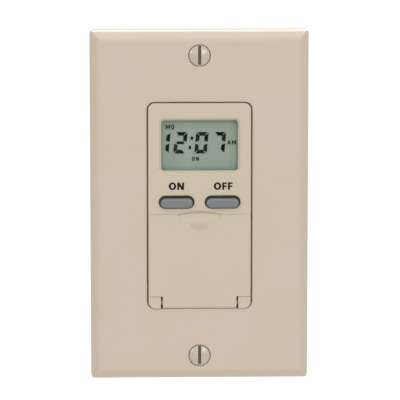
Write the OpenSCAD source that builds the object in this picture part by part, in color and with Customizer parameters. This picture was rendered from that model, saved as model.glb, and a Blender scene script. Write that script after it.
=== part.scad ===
// In-wall digital timer switch with its decorator wall plate.
// X runs right, Y runs into the wall and Z runs up; Y = 0 is the wall surface.

/* [Wall plate] */
// Width of the wall plate
plate_w = 69.8; // [66:0.1:90]
// Height of the wall plate
plate_h = 113; // [112:0.5:130]
// Depth of the wall plate from wall to front
plate_d = 5.6; // [5.2:0.1:7]
// Wall thickness of the wall plate
plate_wall = 2; // [1.6:0.1:2.2]
// Width of the bevel as seen from the front
bevel_w = 3.3; // [2:0.1:5]
// Depth of the bevel
bevel_d = 3.4; // [2:0.1:4]
// Radius of the plate's outer corners
plate_corner_r = 1.7; // [0.5:0.1:3]
// Softness of the edge between bevel and front
bevel_soft_r = 1.6; // [0.4:0.1:3]
// Softness of the edge between bevel and rim
rim_soft_r = 0.8; // [0.3:0.1:1.2]
// Width of the opening for the device
opening_w = 33.32; // [32.5:0.02:36]
// Height of the opening for the device
opening_h = 66.7; // [65.5:0.1:68]
// Corner radius of the opening
opening_r = 1.9; // [1:0.1:3]
// Spacing of the two plate screws
plate_screw_pitch = 96.84; // [95:0.02:98]
// Thickness of the stiffening ribs behind the plate
plate_rib_t = 1.2; // [0.8:0.1:2]

/* [Screws] */
// Head diameter of the plate screws
plate_screw_head_d = 7; // [6.4:0.1:8]
// Thread diameter of the plate, box and ground screws
machine_screw_d = 3.5; // [3:0.1:4]
// Length of the plate screw behind the plate's front
plate_screw_l = 12.5; // [9:0.5:20]
// Width of the driver slots
driver_slot_w = 1; // [0.6:0.1:1.4]
// Spacing of the two box screws
box_screw_pitch = 83.34; // [82.5:0.02:84]
// Length of the box screw thread behind the wall surface
box_screw_l = 24; // [12:0.5:30]
// Head diameter of the box screws
box_screw_head_d = 6.8; // [6:0.1:7.6]
// Thread diameter of the housing screws
housing_screw_d = 2.2; // [1.8:0.1:2.6]
// Length of the housing screws
housing_screw_l = 11; // [8:0.5:12]
// Thread diameter of the board screws
board_screw_d = 1.8; // [1.4:0.1:2.2]

/* [Strap] */
// Length of the mounting strap
strap_h = 105; // [104:0.5:108]
// Thickness of the mounting strap
strap_t = 1.2; // [0.8:0.1:1.4]
// Width of the strap over its break-off ears
strap_end_w = 38; // [34:0.5:44]
// Width of the strap's neck between the ears
strap_neck_w = 20; // [16:0.5:22]
// Length of the slots for the box screws
strap_slot_l = 8; // [6:0.5:10]

/* [Face] */
// How far the face stands proud of the plate
face_proud = 0.5; // [0.2:0.1:1]
// Thickness of the face wall
face_wall = 1.8; // [1.5:0.1:2]
// Thickness of the side walls of the bezel
side_wall = 1.5; // [1.2:0.1:1.8]
// Corner radius of the face
face_r = 1.5; // [0.8:0.1:2.5]
// Thickness of the bezel's flange
flange_t = 1.5; // [1.2:0.1:1.8]
// Width of the display window
window_w = 24.4; // [20:0.1:25]
// Height of the display window
window_h = 16.1; // [14:0.1:17]
// Width of the sloping lip round the window
window_lip = 0.9; // [0.4:0.1:1]
// Thickness of the clear lens
lens_t = 1; // [0.8:0.1:1.1]

/* [Buttons] */
// Length of the ON and OFF buttons
button_w = 10.3; // [8:0.1:10.6]
// Height of the ON and OFF buttons
button_h = 3.35; // [3:0.05:3.8]
// Spacing of the ON and OFF buttons
button_pitch = 14.7; // [14:0.1:15]
// How far the buttons stand out of the face
button_proud = 1.2; // [0.8:0.1:2]
// Gap round each button in its hole
button_gap = 0.5; // [0.3:0.05:0.6]
// Travel of every key
press_travel = 0.5; // [0.2:0.05:0.5]
// Diameter of the programming keys
key_d = 4.2; // [3:0.1:4.4]
// Spacing of the programming keys
key_pitch = 6; // [5.8:0.1:6.4]
// Diameter of the reset key
reset_d = 1.8; // [1.4:0.1:2.4]

/* [Door] */
// Thickness of the door
door_t = 1.6; // [1.3:0.1:2]
// Depth of the space behind the door
door_cavity = 2.5; // [2:0.1:3]
// Radius of the hinge knuckles
knuckle_r = 1.8; // [1.6:0.05:2]
// Diameter of the moulded hinge pins
hinge_pin_d = 1.6; // [1.2:0.1:1.8]
// Length of the moulded hinge pins
hinge_pin_l = 2.6; // [1.5:0.1:2.8]
// Width of the door's tongue between the hinge ears
tongue_w = 23.6; // [20:0.1:24.4]
// Width of the arched tab on the door's top edge
door_tab_w = 13.2; // [8:0.1:16]
// Height of the arched tab
door_tab_rise = 0.95; // [0.5:0.05:1.1]
// Depth of the thumb scoop
scoop_depth = 0.55; // [0.3:0.05:0.8]
// Height of the raised grip ribs
grip_rib_rise = 0.25; // [0.1:0.05:0.5]

/* [Rear housing] */
// Width of the rear housing
housing_w = 44.5; // [43:0.1:46]
// Height of the rear housing
housing_h = 70; // [69:0.1:72]
// Wall thickness of the rear housing
housing_wall = 1.8; // [1.4:0.1:2]
// Corner radius of the rear housing
housing_r = 3; // [2:0.1:4]
// Chamfer round the back of the rear housing
housing_chamfer = 1.6; // [0.5:0.1:1.8]
// Diameter of the lead exits
lead_hole_d = 4; // [3:0.1:4]
// Number of lead exits
lead_count = 4; // [2:1:5]

/* [Electronics] */
// Thickness of both circuit boards
board_t = 1.2; // [0.8:0.1:1.6]
// Height of the tactile switch bodies
switch_h = 2; // [1.8:0.1:2.6]
// Side of the square switch bodies
switch_w = 5.6; // [5:0.1:5.7]
// Diameter of the switch plungers
plunger_d = 3.4; // [2.4:0.1:3.6]
// Spacing between the two circuit boards
header_h = 4.3; // [3.5:0.1:6]
// Height of the relay above its board
relay_h = 15.3; // [14:0.1:18]
// Diameter of the back-up cell
battery_d = 20; // [18:0.1:20.4]
// Thickness of the back-up cell
battery_t = 3.2; // [2.5:0.1:3.4]

/* [Clearances] */
// Gap between face and plate opening
face_gap = 0.34; // [0.2:0.02:0.5]
// Gap round the door
door_gap = 0.3; // [0.2:0.05:0.4]
// Gap between the door's tongue and each hinge ear
tongue_gap = 0.6; // [0.3:0.05:0.8]
// Radial clearance of pins and plungers in their bores
running_fit = 0.05; // [0.02:0.01:0.1]
// Gap between a part and the seat that holds it
seat_gap = 0.15; // [0.05:0.05:0.2]
// Radial clearance of a screw in a clearance hole
screw_clear = 0.2; // [0.1:0.05:0.3]
// Gap between neighbours that never touch
free_gap = 0.3; // [0.2:0.05:0.4]

/* [Hidden] */
$fn = 48;
ivory = [0.86, 0.80, 0.70];
key_grey = [0.45, 0.48, 0.50];
board_green = [0.10, 0.36, 0.20];
eps = 0.01;
past = 1;

// Depths, from the front of the face to the back of the housing
plate_front = -plate_d;
plate_inner = plate_front + plate_wall;
face_y = plate_front - face_proud;
face_back = face_y + face_wall;
strap_front = -strap_t;
flange_front = strap_front - flange_t;
door_back = face_y + door_t;
side_front = door_back + free_gap;
panel_front = door_back + door_cavity;
panel_t = 1.4;
panel_back = panel_front + panel_t;
spigot_back = -seat_gap;
key_flange_t = 0.6;
key_stem = 0.25;
plunger_spare = 0.1;
plunger_out = press_travel + plunger_spare;
plunger_tip = panel_back + seat_gap + key_flange_t + key_stem;
switch_front = plunger_tip + plunger_out;
board_front = switch_front + switch_h;
board_back = board_front + board_t;
power_front = board_back + header_h;
power_back = power_front + board_t;
relay_clear = 1.6;
housing_inner = power_back + relay_h + relay_clear;
housing_d = housing_inner + housing_wall;
housing_inner_w = housing_w - 2 * housing_wall;
housing_inner_h = housing_h - 2 * housing_wall;

// Face layout, stacked from the top edge down
face_w = opening_w - 2 * face_gap;
face_h = opening_h - 2 * face_gap;
inner_w = face_w - 2 * side_wall;
inner_h = face_h - 2 * side_wall;
cell_gap = 0.1;
cell_margin = 1.95;
holder_wall = 1.1;
holder_gap = 0.85;
holder_side_gap = 0.2;
holder_w = inner_w - 2 * holder_side_gap;
cell_w = holder_w - 2 * (holder_wall + cell_gap);
cell_h = window_h + 2 * cell_margin;
holder_h = cell_h + 2 * (holder_wall + cell_gap);
window_z = min(inner_h, housing_inner_h) / 2 - holder_gap - holder_h / 2;
boss_wall = 1;
boss_r = board_screw_d / 2 + boss_wall;
boss_x = inner_w / 2 - boss_r - free_gap;
upper_boss_z = window_z - holder_h / 2 - free_gap - boss_r;
button_hole_w = button_w + 2 * button_gap;
button_hole_h = button_h + 2 * button_gap;
button_flange_lip = 0.6;
button_flange_w = button_hole_w + 2 * button_flange_lip;
button_flange_h = button_hole_h + 2 * button_flange_lip;
button_flange_t = 0.8;
button_z = upper_boss_z - boss_r - free_gap - button_flange_h / 2;
button_web = 0.5;
door_tab_top = button_z - button_hole_h / 2 - button_web - door_gap;
door_top = door_tab_top - door_tab_rise;
door_tab_r = (pow(door_tab_w / 2, 2) + pow(door_tab_rise, 2)) / (2 * door_tab_rise);
step_t = 1.4;
step_top = min(button_z - button_flange_h / 2 - free_gap, door_tab_top);

// Hinge
pivot_y = face_y + knuckle_r;
pivot_z = -face_h / 2 + knuckle_r;
shoulder_z = pivot_z + knuckle_r + door_gap;
ear_in = tongue_w / 2 + tongue_gap;
knuckle_pocket = pivot_y + knuckle_r + free_gap;

// Programming keys
key_row_drop = 4.9;
key_row_z = door_top - key_row_drop;
key_names = ["mode", "day", "minus", "plus"];
key_flange_r = key_d / 2 + button_flange_lip;
key_proud = 1.3;
key_gap = 0.25;
reset_z = key_row_z - switch_w - free_gap;
reset_sunk = 0.4;
key_mid = (len(key_names) - 1) / 2;
key_places = [for (i = [0 : len(key_names) - 1]) [(i - key_mid) * key_pitch, key_row_z]];
button_places = [[-button_pitch / 2, button_z], [button_pitch / 2, button_z]];
reset_place = [0, reset_z];
switch_places = concat(button_places, key_places, [reset_place]);

// Control board
board_w = holder_w;
board_top = window_z + holder_h / 2;
board_edge = 0.6;
board_bottom = reset_z - switch_w / 2 - board_edge;
lower_boss_z = board_bottom + boss_r;
board_holes = [for (x = [-boss_x, boss_x], z = [upper_boss_z, lower_boss_z]) [x, z]];
header_pins = 4;
header_pitch = 2.54;
header_drop = 4;
header_z = window_z - header_drop;
header_pin_r = 0.32;
header_hole_r = header_pin_r + 0.1;
board_screw_grip = 3;
board_screw_end_gap = 0.4;

// Battery
tray_wall = 1;
tray_floor = 0.8;
tray_w = battery_d + 2 * (tray_wall + running_fit);
tray_h = tray_floor + battery_t + tray_wall;
tray_gap = 0.25;
tray_lip = 1;
chute_wall = 1;
tray_rise = 9;
tray_z = -face_h / 2 + tray_rise;
tray_front_t = 1.2;
tray_y = panel_front + tray_front_t;
battery_y = tray_y + tray_wall + battery_d / 2;
tray_end = battery_y + battery_d / 2;
chute_inner_w = tray_w + 2 * tray_gap;
chute_inner_h = tray_h + 2 * tray_gap;
contact_t = 0.3;
contact_spring = 0.6;
chute_end = tray_end + contact_t + contact_spring;
battery_bottom = tray_z - tray_h / 2 + tray_floor;

// Rear housing
housing_boss_wall = 1.6;
housing_boss_r = housing_screw_d / 2 + housing_boss_wall;
housing_boss_inset = 0.1;
housing_screw_x = housing_w / 2 - housing_boss_r - housing_boss_inset;
housing_screw_inset = 6;
housing_screw_z = housing_h / 2 - housing_screw_inset;
housing_screw_lip = 1;
housing_screw_head_r = housing_screw_d / 2 + housing_screw_lip;
housing_screw_sunk = 0.1;
housing_screw_tip = flange_front + housing_screw_sunk + housing_screw_l;
housing_boss_floor = 2;
housing_boss_l = housing_screw_tip + housing_boss_floor;
housing_holes = [for (x = [-1, 1], z = [-1, 1]) [x * housing_screw_x, z * housing_screw_z]];
flange_inset = 0.25;
flange_w = housing_w - 2 * flange_inset;
flange_h = housing_h - 2 * flange_inset;
power_w = housing_inner_w - 2 * free_gap;
power_top = housing_screw_z - housing_boss_r - free_gap;
power_bottom = tray_z + chute_inner_h / 2 + chute_wall + free_gap;
ledge_t = 2;
ledge_reach = 2;
lead_inset = 1.8;
lead_z = -housing_inner_h / 2 + lead_hole_d / 2 + lead_inset;
lead_collar_t = 0.8;
lead_collar_h = 1;
lead_pitch = lead_hole_d + 2 * (lead_collar_t + free_gap);

// Screws
thread_r = machine_screw_d / 2;
tapped_r = thread_r + running_fit;
plate_head_r = plate_screw_head_d / 2;
plate_head_depth = 1.7;
plate_head_dome = 0.9;
plate_boss_wall = 1;
plate_boss_r = thread_r + screw_clear + plate_boss_wall;
box_head_h = 1.8;
box_neck_relief = 0.25;
box_neck_r = thread_r - box_neck_relief;
box_thread_start = -0.05;
ground_x = -14;
ground_head_r = 3.2;
ground_head_h = 2;
ground_tab_r = 4.4;
strap_rim = 1.69;
strap_mid_h = face_h + 2 * (free_gap + strap_rim);
ground_z = -max(housing_h, strap_mid_h) / 2 - ground_head_r - free_gap;

// Lengths along a straight line, turned to a unit direction
function unit(v) = v / norm(v);

// Points of a round corner of radius r at b, between the lines to a and c
function soft_corner(a, b, c, r, steps = 5) =
    let (
        u = unit(a - b),
        v = unit(c - b),
        half = acos(u * v) / 2,
        centre = b + unit(u + v) * (r / sin(half)),
        from = b + u * (r / tan(half)) - centre,
        to = b + v * (r / tan(half)) - centre
    )
    [for (i = [0 : steps]) centre + r * unit(from + (to - from) * i / steps)];

// Solid from a drawing in X and Z, between two depths
module slab(y0, y1) {
    translate([0, y1, 0])
        rotate([90, 0, 0])
            linear_extrude(height = y1 - y0)
                children();
}

// Solid from a drawing in Y and Z, between two places on X
module bar(x0, x1) {
    translate([x0, 0, 0])
        rotate([90, 0, 90])
            linear_extrude(height = x1 - x0)
                children();
}

// Round rod along Y
module rod(x, z, r, y0, y1) {
    translate([x, y1, z])
        rotate([90, 0, 0])
            cylinder(r = r, h = y1 - y0);
}

// Cone along Y
module cone(x, z, r0, r1, y0, y1) {
    translate([x, y0, z])
        rotate([-90, 0, 0])
            cylinder(r1 = r0, r2 = r1, h = y1 - y0);
}

module round_rect(w, h, r) {
    square([w - 2 * r, h], center = true);
    square([w, h - 2 * r], center = true);
    for (x = [-1, 1], z = [-1, 1])
        translate([x * (w / 2 - r), z * (h / 2 - r)])
            circle(r = r);
}

module pill(w, h) {
    square([w - h, h], center = true);
    for (x = [-1, 1])
        translate([x * (w - h) / 2, 0])
            circle(d = h);
}

// Block with a drawing of half an edge on all four sides, mitred at the corners
module edged_block(w, h, y_from, y_to, edge) {
    span = y_to - y_from + 2 * past;
    intersection() {
        translate([0, 0, -h / 2 - past])
            linear_extrude(height = h + 2 * past)
                polygon(concat(
                    [for (p = edge) [p.x - w / 2, p.y]],
                    [for (i = [len(edge) - 1 : -1 : 0]) [w / 2 - edge[i].x, edge[i].y]]
                ));
        rotate([90, 0, 90])
            translate([0, 0, -w / 2 - past])
                linear_extrude(height = w + 2 * past)
                    polygon(concat(
                        [for (p = edge) [p.y, p.x - h / 2]],
                        [for (i = [len(edge) - 1 : -1 : 0]) [edge[i].y, h / 2 - edge[i].x]]
                    ));
        slab(y_from - span, y_to + span)
            children();
    }
}

// Wall plate: bevelled front, hollow back, ribs and screw bosses
module wall_plate() {
    rim = [0, plate_front + bevel_d];
    brow = [bevel_w, plate_front];
    outer_edge = concat(
        [[0, 0]],
        soft_corner([0, 0], rim, brow, rim_soft_r),
        soft_corner(rim, brow, [plate_w / 2, plate_front], bevel_soft_r)
    );
    inner_edge = [[0, past], [0, rim.y], [bevel_w, plate_inner]];
    hollow_w = plate_w - 2 * plate_wall;
    hollow_h = plate_h - 2 * plate_wall;
    rib_inset = 6;
    rib_x = hollow_w / 2 - rib_inset;
    color(ivory)
    difference() {
        union() {
            difference() {
                edged_block(plate_w, plate_h, plate_front, 0, outer_edge)
                    round_rect(plate_w, plate_h, plate_corner_r);
                edged_block(hollow_w, hollow_h, plate_inner, past, inner_edge)
                    square([hollow_w, hollow_h], center = true);
            }
            for (x = [-1, 1])
                slab(plate_inner - eps, flange_front)
                    translate([x * rib_x, 0])
                        square([plate_rib_t, opening_h], center = true);
            for (z = [-1, 1])
                rod(0, z * plate_screw_pitch / 2, plate_boss_r, plate_inner - eps, strap_front - free_gap);
        }
        slab(plate_front - past, past)
            round_rect(opening_w, opening_h, opening_r);
        slab(strap_front - free_gap, past)
            square([strap_end_w + 2 * free_gap, strap_h + 2 * free_gap], center = true);
        for (z = [-1, 1]) {
            rod(0, z * plate_screw_pitch / 2, thread_r + screw_clear, plate_front - past, past);
            cone(0, z * plate_screw_pitch / 2, plate_head_r + running_fit, thread_r + screw_clear,
                plate_front, plate_front + plate_head_depth);
        }
    }
}

// Oval head slotted screw of the wall plate
module plate_screw(z) {
    dome_r = (pow(plate_head_r, 2) + pow(plate_head_dome, 2)) / (2 * plate_head_dome);
    crown = plate_front - plate_head_dome;
    slot_depth = 1.1;
    difference() {
        union() {
            rod(0, z, thread_r, plate_front + plate_head_depth - eps, plate_front + plate_screw_l);
            cone(0, z, plate_head_r, thread_r, plate_front, plate_front + plate_head_depth);
            intersection() {
                rod(0, z, plate_head_r, crown - past, plate_front);
                translate([0, crown + dome_r, z])
                    sphere(r = dome_r);
            }
        }
        slab(crown - past, crown + slot_depth)
            translate([0, z])
                square([driver_slot_w, plate_screw_head_d + past], center = true);
    }
}

module plate_screws() {
    color(ivory)
    for (z = [-1, 1])
        plate_screw(z * plate_screw_pitch / 2);
}

// Drawing of one strap end: a neck with a break-off ear on either side
module strap_end() {
    ear_h = 11;
    ear_r = 3;
    slit_w = 1;
    slit_l = 7.4;
    neck_h = (strap_h - strap_mid_h) / 2 + past;
    difference() {
        union() {
            translate([0, strap_h / 2 - neck_h / 2])
                square([strap_neck_w, neck_h], center = true);
            translate([0, strap_h / 2 - ear_h / 2])
                round_rect(strap_end_w, ear_h, ear_r);
        }
        for (x = [-1, 1])
            translate([x * (strap_neck_w + slit_w) / 2, strap_h / 2 - ear_h / 2])
                square([slit_w, slit_l], center = true);
        translate([0, box_screw_pitch / 2])
            pill(strap_slot_l, machine_screw_d + 2 * screw_clear);
        translate([0, plate_screw_pitch / 2])
            circle(r = tapped_r);
    }
}

// Steel strap: opening for the device, slotted ends and a tab for the earth screw
module mounting_strap() {
    strap_r = 2;
    color("silver")
    slab(strap_front, 0)
    difference() {
        union() {
            round_rect(housing_w, strap_mid_h, strap_r);
            strap_end();
            mirror([0, 1])
                strap_end();
            translate([ground_x, ground_z])
                circle(r = ground_tab_r);
            translate([ground_x - ground_tab_r, ground_z])
                square([2 * ground_tab_r, past - strap_mid_h / 2 - ground_z]);
        }
        round_rect(face_w + 2 * free_gap, face_h + 2 * free_gap, face_r);
        for (p = housing_holes)
            translate(p)
                circle(r = housing_screw_d / 2 + screw_clear);
        translate([ground_x, ground_z])
            circle(r = tapped_r);
    }
}

// Box screws: slotted round heads, a plain neck in the strap, then the thread
module box_screws() {
    slot_depth = 0.9;
    head_front = strap_front - box_head_h;
    color("lightgrey")
    for (z = [-box_screw_pitch / 2, box_screw_pitch / 2])
        difference() {
            union() {
                rod(0, z, box_screw_head_d / 2, head_front, strap_front);
                rod(0, z, box_neck_r, strap_front - eps, box_thread_start + eps);
                rod(0, z, thread_r, box_thread_start, box_screw_l);
            }
            slab(head_front - past, head_front + slot_depth)
                translate([0, z])
                    square([box_screw_head_d + past, driver_slot_w], center = true);
        }
}

// Earth terminal screw, hexagon head behind the strap
module ground_screw() {
    color("green") {
        rod(ground_x, ground_z, thread_r, flange_front + eps, eps);
        translate([ground_x, ground_head_h, ground_z])
            rotate([90, 0, 0])
                cylinder(r = ground_head_r, h = ground_head_h, $fn = 6);
    }
}

// Drawing of the face above the door, with the arch that clears the door's tab
module face_outline() {
    below = 2 * face_h;
    difference() {
        round_rect(face_w, face_h, face_r);
        translate([0, door_top + door_gap - below / 2])
            square([2 * face_w, below], center = true);
        translate([0, door_tab_top - door_tab_r])
            circle(r = door_tab_r + door_gap, $fn = 96);
    }
}

module bezel_ring() {
    difference() {
        round_rect(face_w, face_h, face_r);
        square([inner_w, inner_h], center = true);
    }
}

// Hinge ear at one lower corner, round about the hinge pin
module hinge_ear(side) {
    intersection() {
        bar(side > 0 ? ear_in : -face_w / 2, side > 0 ? face_w / 2 : -ear_in) {
            translate([pivot_y, pivot_z])
                circle(r = knuckle_r);
            translate([pivot_y, pivot_z - knuckle_r])
                square([panel_back - pivot_y, 2 * knuckle_r]);
        }
        slab(face_y - past, past)
            round_rect(face_w, face_h, face_r);
    }
}

// Window through the face: a sloping lip in front, a seat for the lens behind
module window_cut() {
    seat = face_back - lens_t;
    lens_w = window_w + 2 * window_lip;
    lens_h = window_h + 2 * window_lip;
    edge = [[0, face_y - past], [0, face_y], [window_lip, seat], [window_lip, seat + past]];
    translate([0, 0, window_z]) {
        edged_block(lens_w, lens_h, face_y - past, seat + past, edge)
            square([lens_w, lens_h], center = true);
        slab(seat, face_back + past)
            square([lens_w, lens_h], center = true);
    }
}

// Tunnel for the battery tray, from the recessed panel to its closed end
module battery_chute() {
    slab(panel_front, chute_end + chute_wall)
        translate([0, tray_z])
            square([chute_inner_w + 2 * chute_wall, chute_inner_h + 2 * chute_wall], center = true);
}

// Moulded face with its flange, door recess, ears, bosses and battery tunnel
module front_bezel() {
    color(ivory)
    difference() {
        union() {
            slab(face_y, face_back)
                face_outline();
            slab(face_back - eps, spigot_back)
                intersection() {
                    face_outline();
                    bezel_ring();
                }
            slab(side_front, spigot_back)
                bezel_ring();
            slab(flange_front, strap_front)
                difference() {
                    round_rect(flange_w, flange_h, face_r);
                    square([inner_w, inner_h], center = true);
                }
            slab(side_front, panel_back)
                translate([0, step_top - step_t / 2])
                    square([inner_w + eps, step_t], center = true);
            slab(panel_front, panel_back)
                translate([0, (step_top - inner_h / 2) / 2])
                    square([inner_w + eps, step_top + inner_h / 2 + eps], center = true);
            for (side = [-1, 1])
                hinge_ear(side);
            for (x = [-boss_x, boss_x]) {
                rod(x, upper_boss_z, boss_r, face_back - eps, board_front);
                rod(x, lower_boss_z, boss_r, panel_back - eps, board_front);
            }
            battery_chute();
        }
        window_cut();
        for (p = button_places)
            slab(face_y - past, face_back + past)
                translate(p)
                    pill(button_hole_w, button_hole_h);
        for (p = key_places)
            rod(p.x, p.y, key_d / 2 + key_gap, panel_front - past, panel_back + past);
        rod(reset_place.x, reset_place.y, reset_d / 2 + key_gap, panel_front - past, panel_back + past);
        slab(panel_front - past, chute_end)
            translate([0, tray_z])
                square([chute_inner_w, chute_inner_h], center = true);
        slab(face_y - past, knuckle_pocket)
            translate([0, pivot_z])
                square([2 * ear_in, 2 * (knuckle_r + free_gap)], center = true);
        bar(-ear_in - hinge_pin_l + tongue_gap - free_gap, ear_in + hinge_pin_l - tongue_gap + free_gap)
            translate([pivot_y, pivot_z])
                circle(d = hinge_pin_d + 2 * running_fit);
        for (p = board_holes)
            rod(p.x, p.y, board_screw_d / 2 + running_fit, board_front - board_screw_grip, board_front + past);
        for (p = housing_holes) {
            rod(p.x, p.y, housing_screw_d / 2 + screw_clear, flange_front - past, past);
            cone(p.x, p.y, housing_screw_head_r + running_fit, housing_screw_d / 2 + screw_clear,
                flange_front + housing_screw_sunk, strap_front);
            rod(p.x, p.y, housing_screw_head_r + running_fit, flange_front - past,
                flange_front + housing_screw_sunk);
        }
    }
}

// Countersunk screws through flange and strap into the rear housing
module housing_screws() {
    head_front = flange_front + housing_screw_sunk;
    recess_w = 0.5;
    recess_l = housing_screw_head_r * 1.1;
    recess_depth = 0.7;
    color("lightgrey")
    for (p = housing_holes)
        difference() {
            union() {
                rod(p.x, p.y, housing_screw_d / 2, head_front + eps, housing_screw_tip);
                cone(p.x, p.y, housing_screw_head_r, housing_screw_d / 2,
                    head_front, strap_front - eps);
            }
            slab(head_front - past, head_front + recess_depth)
                translate(p) {
                    square([recess_w, recess_l], center = true);
                    square([recess_l, recess_w], center = true);
                }
        }
}

// Clear window, seated in the back of the face
module lcd_lens() {
    lens_w = window_w + 2 * (window_lip - running_fit);
    lens_h = window_h + 2 * (window_lip - running_fit);
    color([0.8, 0.85, 0.85, 0.5])
    slab(face_back - lens_t, face_back)
        translate([0, window_z])
            square([lens_w, lens_h], center = true);
}

cell_front = face_back + free_gap;
cell_t = 2.2;
cell_back = cell_front + cell_t;
glass_ledge = 2.2;
strip_w = 1.6;
strip_z = cell_h / 2 - glass_ledge / 2;

// Display cell: a short front glass on a longer back glass
module lcd_cell() {
    color([0.59, 0.65, 0.58])
    translate([0, 0, window_z]) {
        slab(cell_front, cell_front + cell_t / 2)
            square([cell_w, cell_h - glass_ledge], center = true);
        slab(cell_front + cell_t / 2 - eps, cell_back)
            square([cell_w, cell_h], center = true);
    }
}

// Reflector film behind the display cell
module lcd_reflector() {
    film_t = 0.25;
    color("whitesmoke")
    slab(cell_back, cell_back + film_t)
        translate([0, window_z])
            square([cell_w, cell_h - 2 * glass_ledge - 2 * free_gap], center = true);
}

// Frame that holds the cell over its board, with a lip in front of the glass
module lcd_holder() {
    lip = 0.5;
    color("ghostwhite")
    translate([0, 0, window_z])
    difference() {
        slab(face_back + seat_gap, board_front)
            round_rect(holder_w, holder_h, 0.8);
        slab(cell_front + cell_t / 2 - cell_gap, board_front + past)
            square([cell_w + 2 * cell_gap, cell_h + 2 * cell_gap], center = true);
        slab(face_back - past, board_front)
            square([cell_w + 2 * cell_gap, cell_h - glass_ledge + 2 * cell_gap], center = true);
        for (x = [-1, 1])
            slab(board_front - lip, board_front + past)
                translate([x * holder_w / 2, 0])
                    square([2 * holder_wall + past, holder_h / 3], center = true);
    }
}

// Elastomer strips that join the cell's edge contacts to the board
module contact_strips() {
    color("pink")
    for (z = [-1, 1])
        slab(cell_back, board_front)
            translate([0, window_z + z * strip_z])
                square([cell_w - 2, strip_w], center = true);
}

module header_pattern(r) {
    for (i = [0 : header_pins - 1])
        translate([(i - (header_pins - 1) / 2) * header_pitch, header_z])
            circle(r = r);
}

// Board behind the face
module control_board() {
    color(board_green)
    slab(board_front, board_back)
    difference() {
        translate([0, (board_top + board_bottom) / 2])
            square([board_w, board_top - board_bottom], center = true);
        for (p = board_holes)
            translate(p)
                circle(r = board_screw_d / 2 + screw_clear);
        header_pattern(header_hole_r);
    }
}

// Controller, a flat square package on the back of the board
module controller_chip() {
    chip_w = 9;
    chip_t = 1.2;
    color([0.12, 0.12, 0.13])
    slab(board_back, board_back + chip_t)
        translate([0, window_z + chip_w / 2])
            difference() {
                round_rect(chip_w, chip_w, 0.4);
                translate([1 - chip_w / 2, chip_w / 2 - 1])
                    circle(r = 0.4);
            }
}

// Can of the timing crystal, lying on the back of the board
module watch_crystal() {
    can_r = 1;
    can_l = 6;
    color("silver")
    translate([-can_l / 2, board_back + can_r, button_z])
        rotate([0, 90, 0])
            cylinder(r = can_r, h = can_l);
}

// Pan head screws that hold the board to its bosses
module board_screws() {
    head_h = 1.1;
    head_lip = 0.7;
    slot_w = 0.5;
    tip = board_front - board_screw_grip + board_screw_end_gap;
    color("lightgrey")
    for (p = board_holes)
        difference() {
            union() {
                rod(p.x, p.y, board_screw_d / 2, tip, board_back + eps);
                rod(p.x, p.y, board_screw_d / 2 + head_lip, board_back, board_back + head_h);
            }
            slab(board_back + head_h / 2, board_back + head_h + past)
                translate(p)
                    square([slot_w, 3 * board_screw_d], center = true);
        }
}

// Seven switch bodies on the board, each with the bore of its plunger
module tact_switches() {
    floor_t = 0.2;
    color([0.15, 0.15, 0.16])
    for (p = switch_places)
        difference() {
            slab(switch_front, board_front)
                translate(p)
                    square([switch_w, switch_w], center = true);
            rod(p.x, p.y, plunger_d / 2 + running_fit, switch_front - past, board_front - floor_t);
        }
}

// Plunger of one switch, under its key
module plunger(p) {
    foot_gap = 0.3;
    foot = board_front - foot_gap - press_travel;
    color("sienna")
    rod(p.x, p.y, plunger_d / 2, plunger_tip, foot);
}

// Pill button: crowned cap, flange behind the face and stem to its plunger
module button(p) {
    crown = 0.35;
    crown_r = (pow(button_h / 2, 2) + pow(crown, 2)) / (2 * crown);
    top = face_y - button_proud;
    flange_y = face_back + seat_gap;
    color(key_grey)
    translate([p.x, 0, p.y]) {
        intersection() {
            slab(top, flange_y + eps)
                pill(button_w, button_h);
            union() {
                bar(-button_w, button_w)
                    translate([top + crown_r, 0])
                        circle(r = crown_r);
                slab(top + crown, flange_y + eps)
                    square([2 * button_w, 2 * button_h], center = true);
            }
        }
        slab(flange_y, flange_y + button_flange_t)
            pill(button_flange_w, button_flange_h);
        rod(0, 0, plunger_d / 2, flange_y + button_flange_t - eps, plunger_tip);
    }
}

// Round programming key: domed cap, flange behind the panel and stem
module key(p) {
    dome = 0.4;
    dome_r = (pow(key_d / 2, 2) + pow(dome, 2)) / (2 * dome);
    top = panel_front - key_proud;
    flange_y = panel_back + seat_gap;
    color(key_grey)
    translate([p.x, 0, p.y]) {
        rod(0, 0, key_d / 2, top + dome, flange_y + eps);
        intersection() {
            rod(0, 0, key_d / 2, top, top + dome + eps);
            translate([0, top + dome_r, 0])
                sphere(r = dome_r);
        }
        rod(0, 0, key_flange_r, flange_y, flange_y + key_flange_t);
        rod(0, 0, plunger_d / 2, flange_y + key_flange_t - eps, plunger_tip);
    }
}

// Reset key, sunk in its hole and pressed with a pen tip
module reset_key() {
    flange_y = panel_back + seat_gap;
    color(key_grey) {
        rod(reset_place.x, reset_place.y, reset_d / 2, panel_front + reset_sunk, flange_y + eps);
        rod(reset_place.x, reset_place.y, plunger_d / 2, flange_y, plunger_tip);
    }
}

// Drawing of the door: arched tab on top, shoulders over the ears, tongue between them
module door_outline() {
    side_w = face_w - 2 * running_fit;
    translate([0, (door_top + shoulder_z) / 2])
        square([side_w, door_top - shoulder_z], center = true);
    translate([0, (shoulder_z + pivot_z) / 2])
        square([tongue_w, shoulder_z - pivot_z + eps], center = true);
    intersection() {
        translate([0, door_tab_top - door_tab_r])
            circle(r = door_tab_r, $fn = 96);
        translate([0, door_top])
            square([door_tab_w, 4 * door_tab_rise], center = true);
    }
}

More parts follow.
